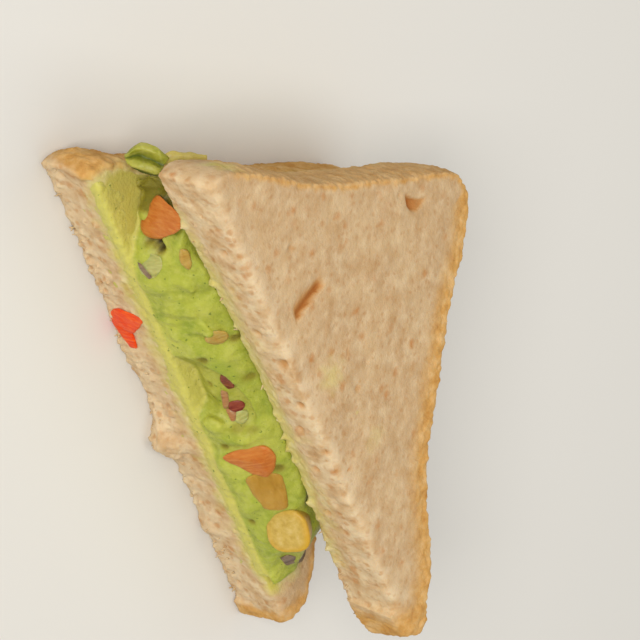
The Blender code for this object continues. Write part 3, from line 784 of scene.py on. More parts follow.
# Hollows pressed into the mash; their darkness is painted shade.
HOLLOWS = (             # place along the cut, height, radius, depth and darkness
    (-44.7, 17.4, 1.3, 2.4, 1.0),
    (-43.5, 18.2, 0.9, 1.9, 1.0),
    (-42.5, 18.9, 0.8, 1.6, 0.95),
    (-15.2, 19.9, 0.9, 1.3, 0.6),
    (-6.6, 17.2, 0.7, 0.7, 0.5),
    (-2.7, 16.3, 0.8, 0.8, 0.65),
    (3.8, 20.9, 1.3, 0.7, 0.35),
    (5.2, 23.0, 1.0, 0.6, 0.3),
    (-19.0, 26.0, 0.8, 0.6, 0.65),
    (-8.2, 25.6, 0.9, 0.6, 0.45),
    (8.7, 17.2, 0.7, 0.7, 0.6),
    (16.6, 24.4, 1.0, 0.8, 0.6),
    (30.8, 15.8, 0.7, 0.7, 0.6),
)
RIDGES = (              # pressed ridges of mash: both ends, half width and half thickness
    ((-22.5, -31.3, 15.2), (-14.8, -30.1, 19.6), 1.8, 0.9),
    ((-33.0, -31.2, 15.5), (-27.5, -28.6, 22.5), 2.4, 0.9),
    ((-28.5, -31.0, 16.5), (-21.5, -28.2, 24.0), 2.2, 0.8),
    ((1.6, -32.0, 15.6), (3.4, -31.2, 18.6), 2.2, 1.1),
    ((6.4, -31.0, 17.8), (7.4, -28.8, 22.4), 1.8, 0.8),
    ((-40.0, -29.8, 20.5), (-33.5, -28.4, 23.8), 1.9, 0.8),
    ((38.5, -30.6, 16.5), (44.5, -31.4, 15.0), 1.7, 0.8),
)
FILM_ENDS = (-62, 48)   # places along the cut where the smeared film ends
FILM_COLUMN = 0.5       # spacing of its mesh along the cut and down it
FILM_ROW = 0.36
FILM_ROWS = 30
FILM_LOW = -4.2         # its lowest row, measured from the lower slice's edge along FILM_UP
FILM_UP = Vector((0, 0.842, 0.540))
FILM_BACK = 1.7         # how far its wall goes in behind its skin
EDGE = 13.3             # height of that edge


def mash_height(p):
    """Relief in mm of mash that was pressed between the slices: soft folds, mostly upright."""
    bend = noise.noise_vector(p / 9) * 2.0
    q = Vector((p.x, p.y * 0.6, p.z * 0.55)) + bend
    return 0.75 * noise.noise(q / 4.6) + 0.36 * noise.noise(q / 2.2) + 0.08 * noise.noise(p / 1.0)


def add_ridge(bm, start, end, half_width, half_thick):
    """A soft ridge laid on the sloping front of the filling."""
    start, end = Vector(start), Vector(end)
    out = Vector((0, FOOT - TOP, FRONT_HIGH - FRONT_LOW)).normalized()
    way = (end - start).normalized()
    across = out.cross(way).normalized()
    turn = Matrix((way, across, way.cross(across))).transposed()
    size = ((end - start).length / 2 + 0.6, half_width, half_thick)
    add_blob(bm, (start + end) / 2, size, turn.to_euler(), 3, 0.3)


def in_recess(p):
    """How far, from 0 to 1, a point of the front lies in the recess under the ledge."""
    below = smooth(-0.5, 0.7, through(LEDGE, p.x) - p.z)
    return below * smooth(-16.5, -14.0, p.x) * smooth(3.6, 0.8, p.x + (20 - p.z) * 0.45)


def over_ledge(p):
    """How far, from 0 to 1, a point of the front lies on the smooth plane over the ledge."""
    above = smooth(-1.0, 0.4, p.z - through(LEDGE, p.x)) * smooth(26, 23, p.z)
    return above * smooth(-17, -13, p.x) * smooth(7, 3, p.x)


def front_moves(p, share):
    """How far the filling's front lies back in mm at a point."""
    inward = sum(deep * hill(p.x, at, reach) for at, reach, deep in SET_BACKS)
    inward *= smooth(0.95, 0.1, share)
    # At the tip the mash lies well back behind the lettuce.
    inward += 5.5 * smooth(-47.5, -55, p.x)
    inward += in_recess(p) * (RECESS_DEPTH + 1.6 * smooth(18, 14, p.z))
    return inward - 0.7 * over_ledge(p)


def smear_reach(x):
    """How far down the lower slice's cut the mash is smeared, in mm."""
    reach = 2.0 + 2.0 * noise.noise(Vector((x / 6.5, 3, 1)))
    return max(reach + 1.2 * noise.noise(Vector((x / 2.1, 8, 1))), 0.4)


def add_plug(bm, front, node):
    """Fill the pocket round a diced piece, so that the piece sits flush in the mash."""
    low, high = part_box(node)
    half = (high - low) / 2 / MM
    wide = sum(abs(RIGHT[i]) * half[i] for i in range(3)) * 0.78
    tall = sum(abs(UP[i]) * half[i] for i in range(3)) * 0.78
    ring = [(wide * math.cos(a * math.pi / 8), tall * math.sin(a * math.pi / 8)) for a in range(16)]
    middle = middle_of(node)
    bed = bed_of(front, middle, ring)
    add_hull(bm, [seen_point(middle, right, up, bed(right, up) + out)
                  for right, up in ring for out in (-0.1, -5)], 0.2)


def add_film(bm, skin):
    """A thin film of mash that runs from the filling down over the lower slice's edge."""
    columns, rows = int((FILM_ENDS[1] - FILM_ENDS[0]) / FILM_COLUMN), FILM_ROWS
    edge_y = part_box("guacamole")[0].y / MM
    places = [FILM_LOW + FILM_ROW * j for j in range(rows)]
    starts = [[Vector((mix(*FILM_ENDS, i / (columns - 1)), edge_y, EDGE)) + FILM_UP * v
               for v in places] for i in range(columns)]
    depths = np.zeros((columns, rows))
    for i in range(columns):
        for j in range(rows):
            found = skin.ray_cast((starts[i][j] + OUT * 60) * MM, -OUT)[0]
            depths[i, j] = (found / MM - starts[i][j]).dot(OUT) if found else depths[i, j - 1]
    for _ in range(3):
        depths[:, 1:-1] = (depths[:, :-2] + 2 * depths[:, 1:-1] + depths[:, 2:]) / 4
        depths[1:-1] = (depths[:-2] + 2 * depths[1:-1] + depths[2:]) / 4
    sheet = bmesh.new()
    grid = []
    for i in range(columns):
        x = starts[i][0].x
        shelf = max(smooth(-44, -48, x), smooth(-16, -13, x) * smooth(2, -2, x))
        ends = smooth(0, 5, i) * smooth(columns - 1, columns - 6, i)
        for j, v in enumerate(places):
            lumps = noise.noise(Vector((x, v * 1.3, 4)) / 2.6) * (1 - 0.7 * shelf)
            if v < 0:
                spent = -v / 0.54 / smear_reach(x)
                thick = 0.50 * (1 - spent) - 0.4 * smooth(0.7, 1.2, spent)
            else:
                thick = 0.9 * smooth(mix(2.6, 6.0, shelf), 0.6, v) - 0.4
            thick = max(min(thick + 0.22 * lumps, 0.7), -0.6) * ends - 0.6 * (1 - ends)
            grid.append(sheet.verts.new((starts[i][j] + OUT * (depths[i, j] + thick)) * MM))
    for start in range(0, len(grid) - rows, rows):
        for a in range(start, start + rows - 1):
            sheet.faces.new([grid[a], grid[a + 1], grid[a + rows + 1], grid[a + rows]])
    thicken(sheet, bm, FILM_BACK)


def share_up(p):
    """How far up the filling a point lies, from 0 at its foot to 1 at its top."""
    return min(max((p.z - FOOT) / (TOP - FOOT), 0), 1)


def build_guacamole(material, look):
    bm = node_copy("guacamole")
    front = BVHTree.FromBMesh(bm)
    for node in DICE:
        add_plug(bm, front, node)
    rough = fused(bm, 0.7, rounds=1)
    for vert in rough.verts:
        p = vert.co / MM
        share = share_up(p)
        near_front = smooth(8, 2.5, p.y - mix(FRONT_LOW, FRONT_HIGH, share))
        inward = front_moves(p, share)
        vert.co += Vector((2.5 * smooth(-49, -56, p.x), inward, 0)) * near_front * MM
    for start, end, half_width, half_thick in RIDGES:
        add_ridge(rough, start, end, half_width, half_thick)
    bread = node_copy("bottom_bread")
    slice_skin = BVHTree.FromBMesh(bread)
    pour(rough.copy(), bread)
    add_film(rough, BVHTree.FromBMesh(bread))
    fine = fused(rough, look.voxel, rounds=5)
    pieces = bmesh.new()
    for node in DICE:
        pour(node_copy(node), pieces)
    dice = BVHTree.FromBMesh(pieces)
    moves, hollow, film, green = [], [], [], []
    for vert in fine.verts:
        p = vert.co / MM
        open_side = smooth(0.97, 0.7, abs(vert.normal.z))
        thin = smooth(1.1, 0.3, slice_skin.find_nearest(vert.co)[3] / MM)
        recess, ledge = in_recess(p), over_ledge(p)
        height = look.mound * mash_height(p) * open_side * (1 - 0.6 * max(recess, ledge))
        height *= smooth(0.2, 2.2, dice.find_nearest(vert.co)[3] / MM)
        height = mix(height, 0.22 * noise.noise(p / 1.6) + 0.10 * noise.noise(p / 0.9), thin)
        # Deep behind the tip the mash lies in the shade of the lettuce: painted shade, dark
        # olive-brown.
        shade = 0.65 * smooth(-48.6, -50.0, p.x) * (1 - thin) * smooth(0.3, 1.2, p.z - 13.7)
        shade = max(shade, 0.5 * smooth(-27.8, -24.6, p.y) * smooth(-48, -50, p.x))
        # Painted shade in the dips of the mash and in the recess under the ledge.
        dark = max(min(max(-height - 0.3, 0) * 0.5, 0.35), 0.16 * recess * (1 - thin))
        pushed = 0
        for at, level, radius, deep, darkness in HOLLOWS:
            near = math.exp(-((p.x - at) ** 2 + (p.z - level) ** 2) / radius ** 2)
            pushed += deep * near
            dark = max(dark, darkness * min(near * 1.5, 1))
        near_front = smooth(9, 4, p.y - mix(FRONT_LOW, FRONT_HIGH, share_up(p)))
        moves.append(vert.normal * height + Vector((0, pushed * near_front, 0)))
        hollow.append(max(dark * near_front, shade))
        film.append(thin)
        plane = max(ledge, 0.5 * hill(p.x, 32, 12), 0.25 * smooth(21, 26, p.z))
        green.append(0.7 * plane * (1 - thin))
    for key, values in (("green", green), ("hollow", hollow), ("thin", film)):
        store(fine, key, values)
    for vert, move in zip(fine.verts, moves):
        vert.co += move * MM
    new_object("guacamole_mash", fine, material, "guacamole")


# ---- Diced vegetables ------------------------

# The pieces are laid out as they are seen across the cut: to the right, up and out of it.
RIGHT = Vector((0.318, 0.639, 0.700))
UP = Vector((-0.726, 0.639, -0.253))
OUT = Vector((-0.610, -0.428, 0.667))


def seen_point(middle_mm, right, up, out):
    return middle_mm + RIGHT * right + UP * up + OUT * out


def middle_of(node):
    low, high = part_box(node)
    return (low + high) / 2 / MM


def front_skin():
    """What the pieces are bedded in, as a search tree: the guacamole and the two slices."""
    bm = bmesh.new()
    for name, node in (("guacamole_mash", "guacamole"), ("lower_slice", "bottom_bread"),
                       ("upper_slice", "top_bread")):
        built = bpy.data.objects.get(name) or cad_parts[node]
        bm.from_mesh(built.data)
    return BVHTree.FromBMesh(bm)


def bed_of(skin, middle_mm, outline):
    """How far out the surface lies under an outline: its level and its slopes to right and up."""
    rows, levels = [], []
    for right, up in outline:
        start = seen_point(middle_mm, right, up, 60)
        found = skin.ray_cast(start * MM, -OUT)[0]
        if found:
            rows.append((1, right, up))
            levels.append((found / MM - seen_point(middle_mm, right, up, 0)).dot(OUT))
    rows, levels = np.array(rows), np.array(levels)
    plane = np.linalg.lstsq(rows, levels, rcond=None)[0]
    close = abs(rows @ plane - levels) < 0.8
    if close.sum() > 3:
        plane = np.linalg.lstsq(rows[close], levels[close], rcond=None)[0]
    level, slope_right, slope_up = plane
    return lambda right, up: level + slope_right * right + slope_up * up


def add_chunk(bm, skin, middle_mm, outline, proud, deep, ridge, round_mm):
    """A cut piece bedded in the filling, from its seen outline as pairs of right and up.

    It stands proud of what it is bedded in by one length and goes into it by another; ridge adds
    corners that stand out further.
    """
    bed = bed_of(skin, middle_mm, outline)
    corners = [(right, up, bed(right, up) + proud) for right, up in outline]
    corners += [(right * 0.9, up * 0.9, bed(right, up) - deep) for right, up in outline]
    corners += [(right, up, bed(right, up) + out) for right, up, out in ridge]
    part = bmesh.new()
    add_hull(part, [seen_point(middle_mm, *corner) for corner in corners], round_mm)
    for _ in range(2):
        long = [edge for edge in part.edges if edge.calc_length() > 0.7 * MM]
        if long:
            bmesh.ops.subdivide_edges(part, edges=long, cuts=1)
            bmesh.ops.triangulate(part, faces=part.faces[:])
    soften(part, part.verts, 0.4, 3)
    part.normal_update()
    for vert in part.verts:
        vert.co += vert.normal * 0.18 * MM * noise.noise(vert.co / MM / 1.8)
    pour(part, bm)


# The kernel in mm: its radius at the root and at the cut end, its length and its rounded rims.
KERNEL_ROOT, KERNEL_CUT, KERNEL_LONG, KERNEL_ROUND = 3.9, 5.25, 5.4, 0.9


def build_corn(material):
    """A sweetcorn kernel that shows its flat cut end and the deeper yellow of its skin."""
    bm = bmesh.new()
    bmesh.ops.create_cone(bm, cap_ends=True, segments=48, radius1=KERNEL_ROOT * MM,
                          radius2=KERNEL_CUT * MM, depth=KERNEL_LONG * MM)
    rims = [e for e in bm.edges if len({round(v.co.z, 6) for v in e.verts}) == 1]
    bmesh.ops.bevel(bm, geom=rims, offset=KERNEL_ROUND * MM, offset_type="OFFSET", segments=5,
                    profile=0.5, affect="EDGES", material=-1)
    caps = [face for face in bm.faces if len(face.verts) > 20]
    for _ in range(5):
        bmesh.ops.inset_region(bm, faces=caps, thickness=0.65 * MM, depth=-0.03 * MM)
    layer = bm.verts.layers.float.new("rim")
    for vert in bm.verts:
        radius = math.hypot(vert.co.x, vert.co.y) / MM
        swell = 1 + 0.09 * noise.noise(Vector((vert.co.x, vert.co.y, 0)) / (4 * MM))
        around = math.atan2(vert.co.y, vert.co.x)
        swell += 0.045 * math.cos(4 * around + 2.6)
        rim = smooth(3.3, 5.0, radius) * mix(0.35, 1.0, 0.5 + 0.5 * math.cos(around - 0.5))
        vert[layer] = max(rim, smooth(1.9, 0.9, vert.co.z / MM))
        vert.co = Vector((vert.co.x * swell, vert.co.y * swell * 0.95, vert.co.z))
    facing = (OUT * 0.84 - UP * 0.36 - RIGHT * 0.40).normalized()
    turn = facing.to_track_quat("Z", "Y").to_matrix().to_4x4()
    middle = seen_point(middle_of("corn_kernel"), 0.8, -0.5, -0.3)
    bmesh.ops.transform(bm, verts=bm.verts, matrix=Matrix.Translation(middle * MM) @ turn)
    new_object("corn_kernel_flesh", bm, material, "corn_kernel")


def build_dice(skin, node, name, material, *chunks, beside=False):
    """One piece from chunks bedded round a node's middle, in the node's place or beside it.

    A chunk is its outline, how far it stands proud and goes in, its ridge and its rounding.
    """
    bm = bmesh.new()
    for outline, proud, deep, ridge, round_mm in chunks:
        centre = sum((Vector(pair) for pair in outline), Vector((0, 0))) / len(outline)
        middle = seen_point(middle_of(node), centre.x, centre.y, 0)
        local = [(right - centre.x, up - centre.y) for right, up in outline]
        local_ridge = [(right - centre.x, up - centre.y, out) for right, up, out in ridge]
        add_chunk(bm, skin, middle, local, proud, deep, local_ridge, round_mm)
    for vert in bm.verts:
        vert.co.z = max(vert.co.z, 0.05 * MM)
    new_object(name, bm, material, None if beside else node)


def build_tomatoes(skin):
    fresh = wet_flesh("tomato_flesh_orange", "#c1702e", "#cb8440", "#b86526")
    build_dice(skin, "tomato_upper", "tomato_dice_upper", fresh,
               (((-0.9, 4.9), (0.4, 3.6), (1.3, 1.9), (3.3, 0.8), (4.4, -1.2), (3.5, -2.5),
                 (0.2, -3.9), (-2.1, -3.7), (-4.0, -2.3), (-4.1, -0.4), (-2.9, 2.1)),
                1.1, 3.5, ((-3.8, -1.2, 2.2), (-2.0, 0.9, 1.9), (-0.3, 0.9, 1.9), (2.4, -0.4, 1.4)),
                0.5))
    build_dice(skin, "tomato_wedge", "tomato_dice_wedge", fresh,
               (((-5.3, -0.5), (-3.2, 0.9), (0.5, 1.9), (3.7, 2.2), (5.5, 1.2), (6.2, -0.7),
                 (5.9, -2.8), (5.0, -4.6), (3.7, -5.2), (2.1, -4.5), (-0.4, -3.0), (-3.2, -1.8)),
                0.4, 3.5, ((-2.8, -0.7, 0.9), (0.0, -0.6, 1.4), (3.3, -0.6, 1.7), (4.0, -3.0, 1.5)),
                0.7))
    watery = wet_flesh("tomato_flesh_watery", "#b08632", "#bd9444", "#a2762a", 0.55,
                       (6.0, 1.3, 6.0))
    build_dice(skin, "tomato_cube", "tomato_dice_watery", watery,
               (((-5.5, 2.0), (-3.1, -2.0), (-1.0, -4.6), (2.0, -5.2), (4.4, -4.5), (4.0, -1.4),
                 (3.1, 2.5), (1.1, 3.2), (-2.2, 3.2)), 0.4, 3.5, ((0.6, -0.8, 0.9),), 0.6))
    pale = wet_flesh("tomato_flesh_pale", "#b59548", "#bfa257", "#a8843c", 0.55)
    build_dice(skin, "tomato_bit", "tomato_dice_pale", pale,
               (((-3.3, -0.5), (-2.4, 0.4), (-0.4, 0.7), (1.4, 0.4), (1.9, -0.9), (0.5, -2.1),
                 (-1.7, -2.5), (-3.1, -1.8)), 0.5, 2.0, ((-0.8, -0.9, 0.8),), 0.6))
    build_dice(skin, "onion_left", "tomato_sliver", pale,
               (((5.2, 3.8), (7.0, 3.8), (8.1, 1.2), (7.4, -0.4), (5.6, 0.8)),
                0.8, 1.9, (), 0.5), beside=True)
    red = wet_flesh("tomato_skin_red", "#ea460a", "#f0641a", "#dc3a08", 0.1)
    build_dice(skin, "tomato_loose", "tomato_corner_red", red,
               (((-4.0, 4.4), (-3.0, 5.7), (-1.8, 5.7), (1.4, 4.5), (3.2, 3.2), (2.8, 2.1),
                 (1.3, 0.5), (-1.2, 0.0), (-2.5, 2.2)),
                0.6, 2.0, ((-2.3, 4.4, 1.3), (-0.1, 1.2, 1.2)), 0.4),
               (((-2.5, 2.2), (-0.2, 2.4), (1.3, 0.5), (1.3, -1.5), (2.1, -2.4), (0.4, -2.2),
                 (-1.2, 0.0)), 0.6, 2.0, ((-0.1, 1.2, 1.2),), 0.4))


def build_onions(skin):
    """Red onion: clear whitish flesh with a wine-red skin on one side."""
    white = wet_flesh("onion_flesh", "#adab63", "#bcb978", "#989851", 0.5)
    pink = wet_flesh("onion_flesh_pink", "#a9784c", "#b88c5e", "#95603c", 0.5)
    purple = wet_flesh("onion_skin_grey", "#7d6650", "#957f66", "#5c4740", 0.35)
    red = wet_flesh("onion_skin_red", "#7e3226", "#97503a", "#62221f", 0.3)
    build_dice(skin, "onion_left", "onion_dice_left", white,
               (((-0.9, 3.5), (2.1, 2.5), (2.5, 0.0), (0.6, -1.9), (-1.8, -0.9), (-2.8, 1.3)),
                0.25, 1.8, ((0.2, 0.9, 0.6),), 0.3))
    build_dice(skin, "onion_left", "onion_skin_left", purple,
               (((-2.7, 1.6), (-1.8, 1.2), (0.4, -1.6), (-0.3, -2.1), (-2.2, 0.2)),
                0.5, 1.0, (), 0.2), beside=True)
    build_dice(skin, "onion_chip", "onion_skin_chip", red,
               (((-0.4, 0.6), (0.9, 0.6), (2.4, -0.9), (2.8, -2.3), (1.2, -2.8), (-0.1, -1.2)),
                0.4, 1.6, (), 0.5))
    build_dice(skin, "onion_middle", "onion_skin_middle", red,
               (((-1.3, 0.0), (0.6, 0.7), (2.1, 0.0), (2.5, -0.9), (1.2, -2.2), (-0.1, -2.4),
                 (-1.2, -1.4)), 0.4, 2.0, (), 0.5))
    build_dice(skin, "onion_middle", "onion_flesh_middle", pink,
               (((-1.8, -1.0), (0.8, -1.8), (0.6, -3.7), (-0.7, -4.1)), 0.35, 1.6, (), 0.5),
               (((-3.2, 2.8), (-1.2, 2.2), (-0.7, -0.8), (-2.1, -1.7)),
                0.3, 1.4, (), 0.5), beside=True)
    build_dice(skin, "onion_middle", "onion_white_middle", white,
               (((0.2, -1.6), (2.9, -1.3), (3.2, -3.5), (1.6, -4.8), (0.1, -3.9)),
                0.35, 1.4, (), 0.5), beside=True)
    build_dice(skin, "onion_right", "onion_dice_right", purple,
               (((-2.2, -0.6), (0.1, 0.1), (1.9, -0.6), (1.9, -2.0), (-0.4, -2.7)),
                0.4, 1.4, (), 0.4))
    dark = wet_flesh("onion_skin_dark", "#4e3a26", "#63492f", "#38281a", 0.1)
    build_dice(skin, "onion_right", "onion_skin_right", dark,
               (((2.2, 1.6), (4.0, 1.3), (4.0, -2.4), (2.3, -2.4)), 0.7, 1.2, (), 0.4), beside=True)


# ---- Lettuce ---------------------------------

LEAF_CRUMPLE = 0.5      # how far a leaf's folds stand out, in mm
LEAF_THICK = 0.35       # thickness of the fold at the tip, in mm


def build_leaf(node, name, material):
    """Refine a CAD leaf and crumple it; both its faces move alike, so it stays a thin leaf."""
    bm = node_copy(node)
    bmesh.ops.subdivide_edges(bm, edges=bm.edges[:], cuts=2, smooth=0.6)
    bmesh.ops.triangulate(bm, faces=bm.faces[:])
    for vert in bm.verts:
        p = vert.co / MM
        fold = noise.noise_vector(p / 3.2) + noise.noise_vector(p / 1.3) * 0.3
        vert.co += fold * LEAF_CRUMPLE * MM
    for key in ("hollow", "light"):
        store(bm, key, [0.0] * len(bm.verts))
    bmesh.ops.recalc_face_normals(bm, faces=bm.faces[:])
    new_object(name, bm, material, node)


# Lines of the fold at the tip, from its frilled rim over the crease to the lip that tucks in
# below, each as points of right, up and out.
FOLD = (
    ((-6.0, 2.1, -0.4), (-4.4, 3.4, -0.2), (-2.5, 4.4, -0.2), (-0.3, 3.7, -0.1), (1.6, 2.6, -0.3),
     (2.6, 1.6, -0.8)),
    ((-5.9, 1.8, 0.2), (-4.3, 2.7, 0.5), (-2.6, 3.3, 0.7), (-0.5, 2.6, 0.7), (1.4, 1.8, 0.4),
     (2.3, 1.0, -0.3)),
    ((-5.7, 1.5, 0.1), (-4.1, 1.9, -0.4), (-2.4, 1.8, -0.9), (-0.6, 1.1, -0.9), (0.9, 0.4, -0.6),
     (1.7, 0.1, -0.6)),
    ((-5.6, 1.1, 0.2), (-4.3, 1.0, 0.5), (-2.5, 0.7, 0.9), (-0.7, 0.1, 0.9), (0.8, -0.4, 0.6),
     (1.4, -0.7, 0.0)),
    ((-5.4, 0.7, 0.1), (-4.1, -0.2, 0.5), (-2.5, -0.8, 0.8), (-0.9, -1.2, 0.8), (0.4, -1.4, 0.5),
     (1.0, -1.5, 0.0)),
    ((-5.0, 0.5, -1.0), (-3.9, -0.6, -1.0), (-2.5, -1.2, -1.4), (-0.9, -1.6, -1.6),
     (0.5, -1.7, -1.8), (1.0, -1.6, -2.0)),
)
STRIP = (
    ((1.6, 2.4, -1.0), (3.2, 2.9, -1.2), (4.8, 2.6, -1.4), (6.4, 2.9, -1.6), (8.0, 2.4, -1.8),
     (9.6, 2.3, -2.0)),
    ((1.5, 1.6, -0.9), (3.2, 2.0, -0.9), (4.8, 1.8, -1.2), (6.4, 1.9, -1.3), (8.0, 1.6, -1.6),
     (9.6, 1.5, -1.9)),
    ((1.3, 0.2, -1.4), (3.1, 0.4, -1.6), (4.8, 0.3, -1.9), (6.4, 0.4, -2.1), (8.0, 0.2, -2.3),
     (9.6, 0.2, -2.5)),
)


def curve_point(points, share):
    """A point on the smooth curve through a row of points."""
    place = min(max(share, 0), 1) * (len(points) - 1)
    index = min(int(place), len(points) - 2)
    t = place - index
    b, c = Vector(points[index]), Vector(points[index + 1])
    a = Vector(points[index - 1]) if index else 2 * b - c
    d = Vector(points[index + 2]) if index + 2 < len(points) else 2 * c - b
    return 0.5 * (2 * b + (c - a) * t + (2 * a - 5 * b + 4 * c - d) * t ** 2
                  + (3 * b - a - 3 * c + d) * t ** 3)


def leaf_patch(bm, lines, columns, rows, shade_of, light):
    """Add a thin leaf to bm, stretched over lines of points of right, up and out."""
    part = bmesh.new()
    bmesh.ops.create_grid(part, x_segments=columns, y_segments=rows, size=0.5)
    middle = middle_of("lettuce_curl")
    shades = []
    for vert in part.verts:
        u, v = vert.co.x + 0.5, 0.5 - vert.co.y
        point = seen_point(middle, *curve_point([curve_point(line, u) for line in lines], v))
        point += noise.noise_vector(point / 1.9) * 0.28 + noise.noise_vector(point / 0.8) * 0.08
        vert.co = point * MM
        shades.append(shade_of(v))
    store(part, "hollow", shades)
    store(part, "light", [light] * len(shades))
    thicken(part, bm, LEAF_THICK)


def build_fold(material):
    bm = bmesh.new()
    # Painted shade along the fold's crease and on the lip that tucks in below.
    leaf_patch(bm, FOLD, 56, 44, lambda v: 0.8 * hill(v, 0.4, 0.06) + smooth(0.8, 0.95, v), 0)
    leaf_patch(bm, STRIP, 40, 12, lambda v: 0, 0.7)
    new_object("lettuce_fold", bm, material, "lettuce_curl")


# ---- Loose crumbs ----------------------------

SPIKES = {"bottom_bread": 45, "top_bread": 8}       # how many crumb spikes each slice has
SPIKE_LEVELS = (0.3, 20.4, 22, 24, 26, 28, 30)      # heights where the cut is looked for


def build_crumbs(material):
    """Fine crumb spikes along the torn edges of the slices."""
    rng = random.Random(7)
    bm = bmesh.new()
    for node, count in SPIKES.items():
        source = node_copy(node)
        source.normal_update()
        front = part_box(node)[0].y / MM
        cut = tree_of(source, lambda face: is_cut(face, front))
        for _ in range(count):
            x = along(rng.uniform(0.02, 0.98), node)
            depth = rng.random() ** 2
            for z in SPIKE_LEVELS:
                at = hit_cut(cut, x, z + 5 * depth) if z > 1 or node == "bottom_bread" else None
                if at:
                    break
            if not at:
                continue
            made = bmesh.ops.create_cone(
                bm, cap_ends=True, segments=5, radius1=rng.uniform(0.2, 0.35) * MM,
                radius2=0.08 * MM, depth=rng.uniform(0.7, 1.5) * MM)
            lean = Vector((rng.uniform(-0.8, 0.8), -1, rng.uniform(-0.9, 0.3))).normalized()
            turn = lean.to_track_quat("Z", "Y").to_matrix().to_4x4()
            place = Matrix.Translation((at + lean * 0.3) * MM)
            bmesh.ops.transform(bm, verts=made["verts"], matrix=place @ turn)
    for vert in bm.verts:
        vert.co.z = max(vert.co.z, 0)
    for key in ("cut", "crust", "pore", "stain", "pale"):
        store(bm, key, [float(key == "cut")] * len(bm.verts))
    bmesh.ops.recalc_face_normals(bm, faces=bm.faces[:])
    new_object("crumb_spikes", bm, material)


# ---- Stage -----------------------------------

EYE = Vector((-386.0, -290.2, 408.7))    # where the camera stands, in mm
HEAD = Vector((-0.730, 0.636, -0.250))   # which way its top points


def build_stage(look):
    scene = bpy.context.scene
    low, high = CAD_BOX
    middle = (low + high) / 2
    bm = bmesh.new()
    bmesh.ops.create_grid(bm, x_segments=1, y_segments=1, size=6)
    mesh = bpy.data.meshes.new("floor")
    bm.to_mesh(mesh)
    bm.free()
    floor = bpy.data.objects.new("floor", mesh)
    scene.collection.objects.link(floor)
    paint, _, _ = start_material("plain_painted_table", {
        "Roughness": 0.8, "Base Color": linear(hex_of(look.floor))})
    mesh.materials.append(paint)

    camera = bpy.data.objects.new("camera", bpy.data.cameras.new("camera"))
    scene.collection.objects.link(camera)
    camera.data.lens = look.lens
    camera.data.clip_start, camera.data.clip_end = 0.05, 20
    back = (EYE * MM - middle).normalized()
    top = (HEAD - back * HEAD.dot(back)).normalized()
    side = top.cross(back)
    camera.matrix_world = Matrix((side, top, back)).transposed().to_4x4()
    camera.location = EYE * MM
    scene.camera = camera

    def lamp(name, towards, distance, size, power, warmth):
        """A square soft box that looks at the sandwich from a direction."""
        light = bpy.data.lights.new(name, "AREA")
        light.shape = "SQUARE"
        light.size = size
        light.energy = power * look.brightness
        light.color = warmth
        obj = bpy.data.objects.new(name, light)
        scene.collection.objects.link(obj)
        direction = Vector(towards).normalized()
        obj.location = middle + direction * distance
        obj.rotation_mode = "QUATERNION"
        obj.rotation_quaternion = direction.to_track_quat("Z", "Y")

    lamp("key_light", (-0.66, -0.60, 0.66), 1.4, 0.7, 15.5, (1.0, 0.97, 0.93))
    lamp("top_light", (0.2, 0.25, 1.0), 1.5, 1.2, 9, (1.0, 0.98, 0.96))
    world = bpy.data.worlds.new("studio")
    world.use_nodes = True
    world.node_tree.nodes["Background"].inputs["Color"].default_value = linear("#f4f3f0")
    world.node_tree.nodes["Background"].inputs["Strength"].default_value = 0.34 * look.brightness
    scene.world = world
    scene.view_settings.view_transform = "Standard"


# ---- Operators -------------------------------

class SANDWICH_OT_bread(bpy.types.Operator):
    """Build the two slices of bread and the crumb spikes on their torn edges"""

    bl_idname = "sandwich.bread"
    bl_label = "Bread"

    def execute(self, context):
        look = context.scene.sandwich_bread
        material = bread_material(look)
        dress_slice("bottom_bread", "lower_slice", material, look, 3, 6.6,
                    lower_slice_extras(look.flakes))
        dress_slice("top_bread", "upper_slice", material, look, 8, 9.5,
                    upper_slice_extras(look.flakes))
        build_crumbs(material)
        return {"FINISHED"}


class SANDWICH_OT_guacamole(bpy.types.Operator):
    """Build the guacamole with its mounds and the smears that run over the bread"""

    bl_idname = "sandwich.guacamole"
    bl_label = "Guacamole"

    def execute(self, context):
        look = context.scene.sandwich_guacamole
        build_guacamole(guacamole_material(look), look)
        return {"FINISHED"}


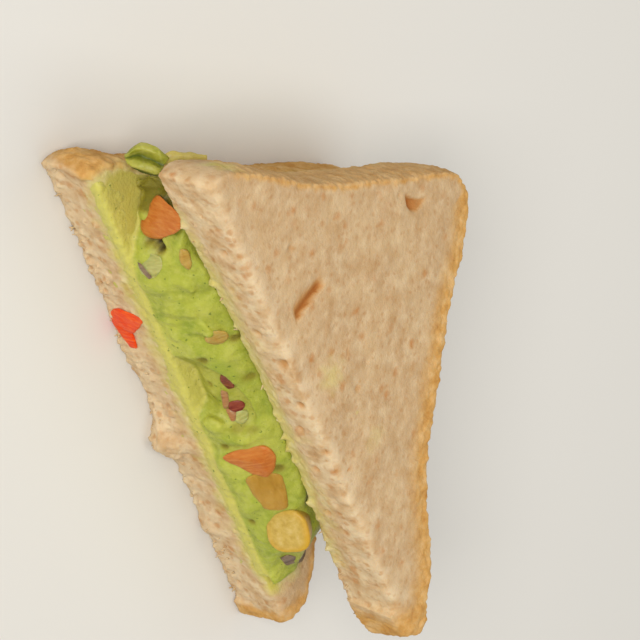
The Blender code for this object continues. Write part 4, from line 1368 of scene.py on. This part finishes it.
class SANDWICH_OT_vegetables(bpy.types.Operator):
    """Build the diced tomato and onion and the sweetcorn kernel"""

    bl_idname = "sandwich.vegetables"
    bl_label = "Diced vegetables"

    def execute(self, context):
        skin = front_skin()
        build_tomatoes(skin)
        build_onions(skin)
        build_corn(corn_material())
        return {"FINISHED"}


class SANDWICH_OT_lettuce(bpy.types.Operator):
    """Build the crumpled lettuce leaves"""

    bl_idname = "sandwich.lettuce"
    bl_label = "Lettuce"

    def execute(self, context):
        material = lettuce_material(context.scene.sandwich_lettuce)
        build_fold(material)
        build_leaf("lettuce_left", "lettuce_leaf_short_side", material)
        build_leaf("lettuce_right", "lettuce_leaf_long_side", material)
        return {"FINISHED"}


class SANDWICH_OT_stage(bpy.types.Operator):
    """Set up the floor, the soft lights and the camera"""

    bl_idname = "sandwich.stage"
    bl_label = "Stage"

    def execute(self, context):
        build_stage(context.scene.sandwich_stage)
        return {"FINISHED"}


class SANDWICH_PT_panel(bpy.types.Panel):
    """Lists the sandwich's operators"""

    bl_idname = "SANDWICH_PT_panel"
    bl_label = "Sandwich"
    bl_space_type = "VIEW_3D"
    bl_region_type = "UI"
    bl_category = "Sandwich"

    def draw(self, context):
        for operator in OPERATORS:
            self.layout.operator(operator.bl_idname)


LOOKS = {
    "sandwich_bread": BreadLook,
    "sandwich_guacamole": GuacamoleLook,
    "sandwich_lettuce": LettuceLook,
    "sandwich_stage": StageLook,
}
OPERATORS = (SANDWICH_OT_bread, SANDWICH_OT_guacamole, SANDWICH_OT_vegetables,
             SANDWICH_OT_lettuce, SANDWICH_OT_stage)


def register():
    for cls in (*LOOKS.values(), *OPERATORS, SANDWICH_PT_panel):
        bpy.utils.register_class(cls)
    for name, look in LOOKS.items():
        setattr(bpy.types.Scene, name, PointerProperty(type=look))


def unregister():
    for name in LOOKS:
        delattr(bpy.types.Scene, name)
    for cls in reversed((*LOOKS.values(), *OPERATORS, SANDWICH_PT_panel)):
        bpy.utils.unregister_class(cls)


def main():
    register()
    bpy.ops.sandwich.bread()
    bpy.ops.sandwich.guacamole()
    bpy.ops.sandwich.vegetables()
    bpy.ops.sandwich.lettuce()
    bpy.ops.sandwich.stage()
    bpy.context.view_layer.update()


if __name__ == "__main__":
    main()
